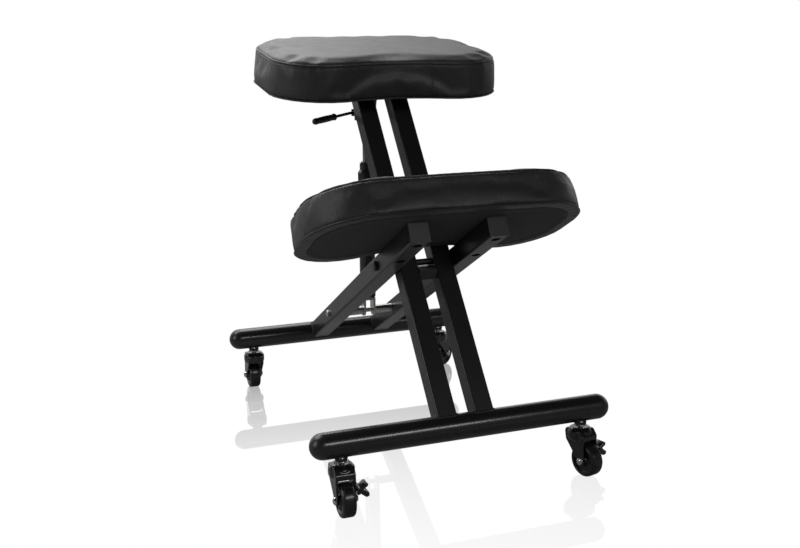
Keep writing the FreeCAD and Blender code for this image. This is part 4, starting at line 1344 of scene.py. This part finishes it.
@dataclass
class Grip:
    """Moulded grip on the release lever, with a flared collar and shallow finger rings."""

    node: str = "release_lever_grip"
    rings: int = 6

    def build(self) -> None:
        """Make the grip along the CAD grip's own axis."""
        spots = [vertex.co for vertex in frame["nodes"][self.node].data.vertices]
        middle = sum(spots, Vector()) / len(spots)
        inner = box_centre("release_lever_rod")
        tip = max(spots, key=lambda s: (s - inner).length)
        root = min(spots, key=lambda s: (s - inner).length)
        way = self.axis(spots, middle)
        if way.dot(tip - root) < 0:
            way = -way
        reach = [(s - middle).dot(way) for s in spots]
        start, end = min(reach), max(reach)
        length = end - start
        r = max(((s - middle) - way * (s - middle).dot(way)).length for s in spots)
        profile = [(r * 0.55, 0.0), (r * 0.92, 0.0), (r, 1.2 * MM), (r, 3.0 * MM),
                   (r * 0.80, 4.4 * MM)]
        for k in range(self.rings):
            at = length * (0.16 + 0.58 * k / (self.rings - 1))
            swell = 0.84 + 0.10 * math.sin(math.pi * (k + 1) / (self.rings + 1))
            profile += [(r * swell, at), (r * swell * 0.93, at + 1.0 * MM),
                        (r * swell * 0.93, at + 1.8 * MM), (r * swell, at + 2.8 * MM)]
        for k in range(6):
            angle = math.pi / 2 * k / 6
            profile.append((r * 0.92 * math.cos(angle), length - r * 0.9 * (1 - math.sin(angle))))
        turn = way.to_track_quat("Z", "Y").to_matrix().to_4x4()
        place = Matrix.Translation(middle + way * start) @ turn
        piece = Bench.turned("release_lever_grip_moulding", profile, 40, False, place)
        Bench.modify(piece, "SUBSURF", levels=1, render_levels=1)
        Bench.smooth(piece, 60)
        Bench.deliver(piece, Finish.grip_plastic, "grip_plastic", "release_lever", [self.node])

    @staticmethod
    def axis(spots: Sequence[Vector], middle: Vector) -> Vector:
        """Direction in which the points spread furthest.

        Args:
            spots: the points.
            middle: their mean.

        Returns:
            Unit vector.
        """
        way = Vector((1, 0.2, 0.1)).normalized()
        for _ in range(30):
            total = Vector()
            for spot in spots:
                total += (spot - middle) * (spot - middle).dot(way)
            way = total.normalized()
        return way


@dataclass
class StrutTrim:
    """Rubber wiper and snap ring on the neck of the gas strut."""

    foot_node: str = "strut_lower_bolt"
    head_node: str = "strut_upper_pin"
    neck_radius: float = 10.5 * MM
    rod_radius: float = 5.0 * MM

    def build(self) -> None:
        """Make the wiper on top of the cylinder's neck."""
        foot = box_centre(self.foot_node)
        top = box_centre(self.head_node)
        way = (top - foot).normalized()
        spots = [v.co for v in frame["nodes"]["strut_cylinder"].data.vertices]
        end = max((s - foot).dot(way) for s in spots)
        turn = way.to_track_quat("Z", "Y").to_matrix().to_4x4()
        place = Matrix.Translation(foot + way * end) @ turn
        r, bore = self.neck_radius, self.rod_radius + 0.06 * MM
        lip = rounded([(bore, 0.05 * MM), (r - 1.2 * MM, 0.05 * MM), (r - 1.4 * MM, 1.6 * MM),
                       (bore + 1.6 * MM, 3.4 * MM), (bore, 3.6 * MM)], 0.6 * MM, 3)
        wiper = Bench.turned("strut_wiper", lip, 40, True, place)
        Bench.smooth(wiper, 50)
        Bench.deliver(wiper, Finish.nylon, "nylon", "strut_lower")
        groove = rounded([(r - 0.3 * MM, -7.2 * MM), (r + 0.75 * MM, -7.2 * MM),
                          (r + 0.75 * MM, -6.0 * MM), (r - 0.3 * MM, -6.0 * MM)], 0.4 * MM, 3)
        ring = Bench.turned("strut_crimp_ring", groove, 48, True, place)
        Bench.smooth(ring, 50)
        Bench.deliver(ring, Finish.strut_paint, "strut_paint", "strut_lower")


# ---- casters -----------------------------------------------------------------------------

class Brake(Enum):
    """Whether a caster has a brake."""

    WITHOUT = 0
    PEDAL = 1


@dataclass
class CasterMoulds:
    """Masters of the moulded caster pieces, in the caster's own frame on the floor."""

    trail: float = -16 * MM
    half_outer: float = 14.8 * MM
    half_inner: float = 11.7 * MM
    roof: float = 54 * MM
    top: float = 73.6 * MM
    shoulder: float = 19 * MM
    wheel_radius: float = 25 * MM
    bore: float = 4.6 * MM
    voxel: float = 0.8 * MM
    wing_bend: float = 0.8

    def slab(self, name: str, outline: Sequence[Tuple[float, float]], start: float, end: float,
             across: bool = False) -> bpy.types.Object:
        """Flat piece with an outline, between two planes.

        Args:
            name: the piece's name.
            outline: points in millimetres, (y, z), or (x, z) when across.
            start: first plane in metres.
            end: second plane in metres.
            across: the planes are square to Y and not to X.

        Returns:
            The slab.
        """
        rings = []
        for plane in (start, end):
            if across:
                rings.append([Vector((a * MM, plane, b * MM)) for a, b in outline])
            else:
                rings.append([Vector((plane, a * MM, b * MM)) for a, b in outline])
        return Bench.loft(name, rings)

    def fork(self, brake: Brake) -> bpy.types.Object:
        """Fork with a round shoulder, two tapering arms and a see-through slot.

        Args:
            brake: adds the pedal's lugs.

        Returns:
            The master fork.
        """
        t = self.trail / MM
        boss = [(t + 8 * math.sin(a), 25 - 8 * math.cos(a))
                for a in (math.radians(d) for d in range(-100, 101, 25))]
        arm = rounded([(15, 66), (15.5, 53)] + boss[::-1] + [(-21.5, 46), (-21, 64)], 5, 3)
        hood = rounded([(14, 71.5), (17.5, 66), (15.5, self.roof / MM + 0.2),
                        (-21.5, self.roof / MM + 0.2), (-21.5, 62), (-14, 71.5)], 4.5, 5)
        inner, outer = self.half_inner, self.half_outer
        parts = [self.slab("arm", arm, -outer, -inner), self.slab("arm", arm, inner, outer),
                 self.slab("hood", hood, -outer, outer)]
        s, top, roof = self.shoulder / MM, self.top / MM, self.roof / MM
        dome = rounded([(self.bore / MM, roof + 0.2), (s - 1.2, roof + 0.2), (s - 0.1, roof + 5),
                        (s - 0.1, top - 6), (s - 4.0, top - 1), (9.6, top), (8.9, top - 1.3),
                        (self.bore / MM, top - 1.3)], 3.0, 4)
        parts.append(Bench.turned("dome", [(a * MM, b * MM) for a, b in dome], 64, True))
        if brake is Brake.PEDAL:
            lug = rounded([(13.6, 32.5), (21.6, 35.5), (21.6, 42), (13.6, 45)], 2.5, 3)
            for start, end in ((-28.2, -25.3), (-6.7, -3.8)):
                parts.append(self.slab("lug", lug, start * MM, end * MM, True))
        piece = Bench.join("fork_master", parts)
        Bench.modify(piece, "REMESH", mode="VOXEL", voxel_size=self.voxel, adaptivity=0.0)
        Bench.modify(piece, "SMOOTH", factor=0.5, iterations=5)
        Bench.take(piece)
        bpy.ops.object.shade_smooth()
        return piece

    def wheel(self) -> bpy.types.Object:
        """Wheel with a shouldered tread, a fine groove at each side and a dished web.

        Returns:
            The master wheel.
        """
        half = [(3.1, 11.05), (7.0, 11.05), (7.6, 9.4), (9.0, 7.3), (12.5, 6.6), (16.4, 7.0),
                (17.4, 8.4), (17.9, 9.9), (20.4, 10.0), (20.9, 9.5), (21.6, 9.9), (23.4, 9.2),
                (24.7, 7.6), (24.95, 6.6), (24.5, 6.25), (24.5, 5.95), (24.98, 5.6)]
        loop = rounded([(r, -x) for r, x in half] + [(r, x) for r, x in reversed(half)], 0.45, 3)
        place = (Matrix.Translation((0, self.trail, self.wheel_radius))
                 @ Matrix.Rotation(math.pi / 2, 4, "Y"))
        piece = Bench.turned("wheel_master", [(a * MM, b * MM) for a, b in loop], 80, True, place)
        Bench.smooth(piece, 45)
        return piece

    def pedal(self) -> bpy.types.Object:
        """Rocking pedal: two rounded wings with grip ribs, on a boss between the lugs.

        Returns:
            The master pedal.
        """
        hinge = Vector((18.8 * MM, self.trail, 38.5 * MM))
        along_y = Matrix.Translation(hinge) @ Matrix.Rotation(math.pi / 2, 4, "X")
        wide = 8.55 * MM
        boss = rounded([(1.0 * MM, -wide), (3.9 * MM, -wide), (3.9 * MM, wide),
                        (1.0 * MM, wide)], 0.6 * MM, 3)
        parts = [Bench.turned("boss", boss, 32, True, along_y)]
        parts.append(Bench.turned("pins", [(1.4 * MM, -11.6 * MM), (1.5 * MM, -11.4 * MM),
                                           (1.5 * MM, 11.4 * MM), (1.4 * MM, 11.6 * MM)],
                                  20, False, along_y))
        for drop, reach, root, tip in ((-34.0, 14.5, 2.6, 3.2), (36.0, 17.0, 3.0, 4.0)):
            turn = Matrix.Translation(hinge) @ Matrix.Rotation(math.radians(drop), 4, "Y")
            rings = []
            for k in range(9):
                share = k / 8
                at = reach * share
                thick = root + (tip - root) * math.sin(share * math.pi / 2)
                spread = 7.6 + 0.9 * share
                if share > self.wing_bend:
                    shrink = math.sqrt(max(0.05, 1 - ((share - self.wing_bend) / 0.21) ** 2))
                    thick *= shrink
                    spread *= 0.82 + 0.18 * shrink
                section = rounded([(spread, thick), (-spread, thick), (-spread, -thick),
                                   (spread, -thick)], 2.2, 3)
                rings.append([turn @ (Vector((at, a, b)) * MM) for a, b in section])
            parts.append(Bench.loft("wing", rings))
            for k in range(3):
                at = (reach * (0.5 + 0.17 * k)) * MM
                rib = (turn @ Matrix.Translation((at, 0, math.copysign(tip - 0.25, -drop) * MM))
                       @ Matrix.Rotation(math.pi / 2, 4, "X"))
                bar = [(0.25 * MM, -6.2 * MM), (0.62 * MM, -5.8 * MM), (0.62 * MM, 5.8 * MM),
                       (0.25 * MM, 6.2 * MM)]
                parts.append(Bench.turned("rib", bar, 10, False, rib))
        piece = Bench.join("pedal_master", parts)
        Bench.smooth(piece, 45)
        return piece

    @staticmethod
    def stem_ring(name: str, profile: Sequence[Tuple[float, float]],
                  corner: float) -> bpy.types.Object:
        """Ring round the stem.

        Args:
            name: the master's name.
            profile: section in millimetres, (radius, height).
            corner: rounding of its corners in millimetres.

        Returns:
            The master ring.
        """
        loop = rounded(profile, corner, 3)
        piece = Bench.turned(name, [(a * MM, b * MM) for a, b in loop], 48, True)
        Bench.smooth(piece, 45)
        return piece

    def collar(self) -> bpy.types.Object:
        """Black sleeve of the stem's insert under the bar."""
        return self.stem_ring("collar_master", [(8.03, 77.9), (8.7, 77.9), (9.3, 79.2),
                                                (9.3, 81.5), (8.03, 81.5)], 0.5)

    def nut_ring(self) -> bpy.types.Object:
        """Bright flanged ring between the sleeve and the fork."""
        return self.stem_ring("ring_master", [(8.03, 76.2), (9.0, 76.2), (9.4, 76.8),
                                              (9.0, 77.6), (8.03, 77.6)], 0.3)


@dataclass
class Casters:
    """The four casters, each at the swivel angle of its CAD wheel."""

    moulds: CasterMoulds = field(default_factory=CasterMoulds)

    def build(self) -> None:
        """Make the masters and set copies down at every corner."""
        forks = {brake: self.moulds.fork(brake) for brake in Brake}
        wheel, pedal = self.moulds.wheel(), self.moulds.pedal()
        collar, ring = self.moulds.collar(), self.moulds.nut_ring()
        for end in ("front", "rear"):
            brake = Brake.PEDAL if end == "front" else Brake.WITHOUT
            holder = "seat_frame" if end == "front" else "knee_frame"
            for side in ("left", "right"):
                tag = f"{end}_{side}"
                place = self.stand(tag)
                self.set_down(forks[brake], f"caster_fork_moulding_{tag}", place,
                              Finish.caster_plastic, "caster_plastic", f"caster_{tag}",
                              [f"caster_fork_{tag}"])
                self.set_down(wheel, f"caster_wheel_tyre_{tag}", place, Finish.wheel_plastic,
                              "wheel_plastic", f"wheel_{tag}", [f"caster_wheel_{tag}"])
                self.set_down(collar, f"caster_collar_{tag}", place, Finish.cap_plastic,
                              "cap_plastic", holder, [])
                self.set_down(ring, f"caster_ring_{tag}", place, Finish.zinc, "zinc", holder, [])
                if brake is Brake.PEDAL:
                    self.set_down(pedal, f"brake_pedal_moulding_{tag}", place,
                                  Finish.caster_plastic, "caster_plastic", f"pedal_{tag}",
                                  [f"brake_pedal_{tag}"])
        for master in (*forks.values(), wheel, pedal, collar, ring):
            bpy.data.objects.remove(master)

    @staticmethod
    def stand(tag: str) -> Matrix:
        """Place of one caster: its stem on the floor, turned as its wheel trails."""
        stem, wheel = box_centre(f"caster_stem_{tag}"), box_centre(f"caster_wheel_{tag}")
        away = wheel - stem
        angle = math.atan2(away.x, -away.y)
        return (Matrix.Translation((stem.x, stem.y, 0.0))
                @ Matrix.Rotation(angle, 4, "Z"))

    @staticmethod
    def set_down(master: bpy.types.Object, name: str, place: Matrix, finish: Finish, slot: str,
                 body: str, replaces: Sequence[str]) -> None:
        """Copy a master to its place and deliver the copy."""
        Bench.deliver(Bench.copy(master, name, place), finish, slot, body, replaces)


# ---- frame finishes and studio -----------------------------------------------------------

@dataclass
class PaintShop:
    """Dresses the CAD pieces that stay."""

    def dress(self) -> None:
        """Give each CAD node the finish of its material slot."""
        for entry in frame["record"]["subparts"]:
            node = frame["nodes"][entry["node"]]
            node.data.materials.clear()
            node.data.materials.append(Finish[entry["material_slot"]].material())
            LOG.info("%s dressed in %s", entry["node"], entry["material_slot"])


@dataclass
class Studio:
    """Pale floor, soft lights and the camera."""

    eye: Triple = (-0.56146, -1.58365, 0.63895)
    yaw: float = 19.722
    pitch: float = 12.505
    roll: float = -0.881
    lens: float = 46.507
    floor_reach: float = 14.0
    dim: float = 0.12

    def build(self) -> None:
        """Set up the whole stage."""
        bpy.context.scene.view_settings.view_transform = "Standard"
        self.lay_floor()
        self.hang_world()
        self.hang_light("top_softbox", (-0.5, 1.7, 2.5), (0.0, 0.2, 0.3), (3.0, 2.0), 60.0)
        self.hang_light("left_softbox", (-2.6, -0.2, 1.3), (0.0, 0.0, 0.35), (1.2, 1.6), 14.0)
        self.hang_light("front_softbox", (0.5, -2.35, 1.45), (0.0, -0.2, 0.15), (1.1, 0.4), 10.0)
        self.place_camera()

    def lay_floor(self) -> None:
        """Broad round floor under the casters."""
        Bench.clear()
        bpy.ops.mesh.primitive_circle_add(vertices=96, radius=self.floor_reach, fill_type="NGON")
        floor = bpy.context.object
        floor.name = "studio_floor"
        floor.data.materials.append(Finish.floor.material())

    def hang_world(self) -> None:
        """White to the eye and in the floor's polish; to the chair, bright only behind it."""
        world = bpy.data.worlds.new("studio")
        bpy.context.scene.world = world
        world.use_nodes = True
        tree = world.node_tree
        tree.nodes.clear()
        parts = tree.nodes.new("ShaderNodeSeparateXYZ")
        way = tree.nodes.new("ShaderNodeTexCoord").outputs["Generated"]
        tree.links.new(way, parts.inputs[0])
        x, y, z = (Value(tree, parts.outputs[axis]) for axis in "XYZ")
        yaw = math.radians(self.yaw)
        behind = (x * math.sin(yaw) + y * math.cos(yaw)).within(0.25, 0.85)
        low = 1 - z.within(0.36, 0.62)
        room = low * (behind * (1 - self.dim) + self.dim)
        path = tree.nodes.new("ShaderNodeLightPath")
        eye, mirrored = (Value(tree, path.outputs["Is " + kind + " Ray"])
                         for kind in ("Camera", "Singular"))
        sky = tree.nodes.new("ShaderNodeBackground")
        seen = room.math("MAXIMUM", eye).math("MAXIMUM", mirrored)
        tree.links.new(seen.socket, sky.inputs["Strength"])
        out = tree.nodes.new("ShaderNodeOutputWorld")
        tree.links.new(sky.outputs[0], out.inputs["Surface"])
        sky.inputs["Color"].default_value = (1.0, 1.0, 1.0, 1.0)

    @staticmethod
    def hang_light(name: str, spot: Triple, aim: Triple, size: Tuple[float, float],
                   power: float) -> None:
        """Rectangular soft light.

        Args:
            name: the light's name.
            spot: its place.
            aim: the point it faces.
            size: width and height.
            power: watts.
        """
        lamp = bpy.data.lights.new(name, "AREA")
        lamp.shape = "RECTANGLE"
        lamp.size, lamp.size_y = size
        lamp.energy = power
        holder = bpy.data.objects.new(name, lamp)
        bpy.context.scene.collection.objects.link(holder)
        holder.location = spot
        way = Vector(aim) - Vector(spot)
        holder.rotation_euler = way.to_track_quat("-Z", "Y").to_euler()

    def place_camera(self) -> None:
        """Camera at eye level of the seat, looking down on the base."""
        yaw, pitch, roll = (math.radians(a) for a in (self.yaw, self.pitch, self.roll))
        ahead = Vector((math.sin(yaw) * math.cos(pitch), math.cos(yaw) * math.cos(pitch),
                        -math.sin(pitch)))
        right = Vector((math.cos(yaw), -math.sin(yaw), 0.0))
        up = right.cross(ahead)
        side = right * math.cos(roll) + up * math.sin(roll)
        top = up * math.cos(roll) - right * math.sin(roll)
        data = bpy.data.cameras.new("camera")
        data.lens = self.lens
        data.sensor_width = 36.0
        data.sensor_fit = "HORIZONTAL"
        data.clip_start = 0.05
        holder = bpy.data.objects.new("camera", data)
        bpy.context.scene.collection.objects.link(holder)
        turn = Matrix((side, top, -ahead)).transposed().to_4x4()
        holder.matrix_world = Matrix.Translation(self.eye) @ turn
        bpy.context.scene.camera = holder


def main() -> None:
    """Build the chair's looks in order."""
    logging.basicConfig(level=logging.INFO, format="%(message)s")
    Studio().build()
    PaintShop().dress()
    Pad("seat", "seat_frame", 8.5, 65 * MM, 0.75, 10 * MM, 6 * MM, 57 * MM, -1, False).build()
    Pad("knee", "knee_frame", -27.1165, 60 * MM, 0.7, 7 * MM, 6 * MM, 60 * MM, 1, True).build()
    Welds().build()
    nut_end = 1 if box_centre("pivot_nut").x > 0 else -1
    HexBolt("pivot_bolt", "knee_frame", 5 * MM, 7.9 * MM, 6 * MM, Finish.dark_steel,
            "dark_steel", (-nut_end,)).build()
    HexBolt("pivot_nut", "knee_frame", 0.0, 7.9 * MM, 7.4 * MM, Finish.dark_steel,
            "dark_steel", (nut_end,)).build()
    HexBolt("strut_lower_bolt", "knee_frame", 4 * MM, 6.4 * MM, 4 * MM, Finish.zinc,
            "zinc", (-1, 1)).build()
    Grip().build()
    StrutTrim().build()
    Casters().build()


if __name__ == "__main__":
    main()
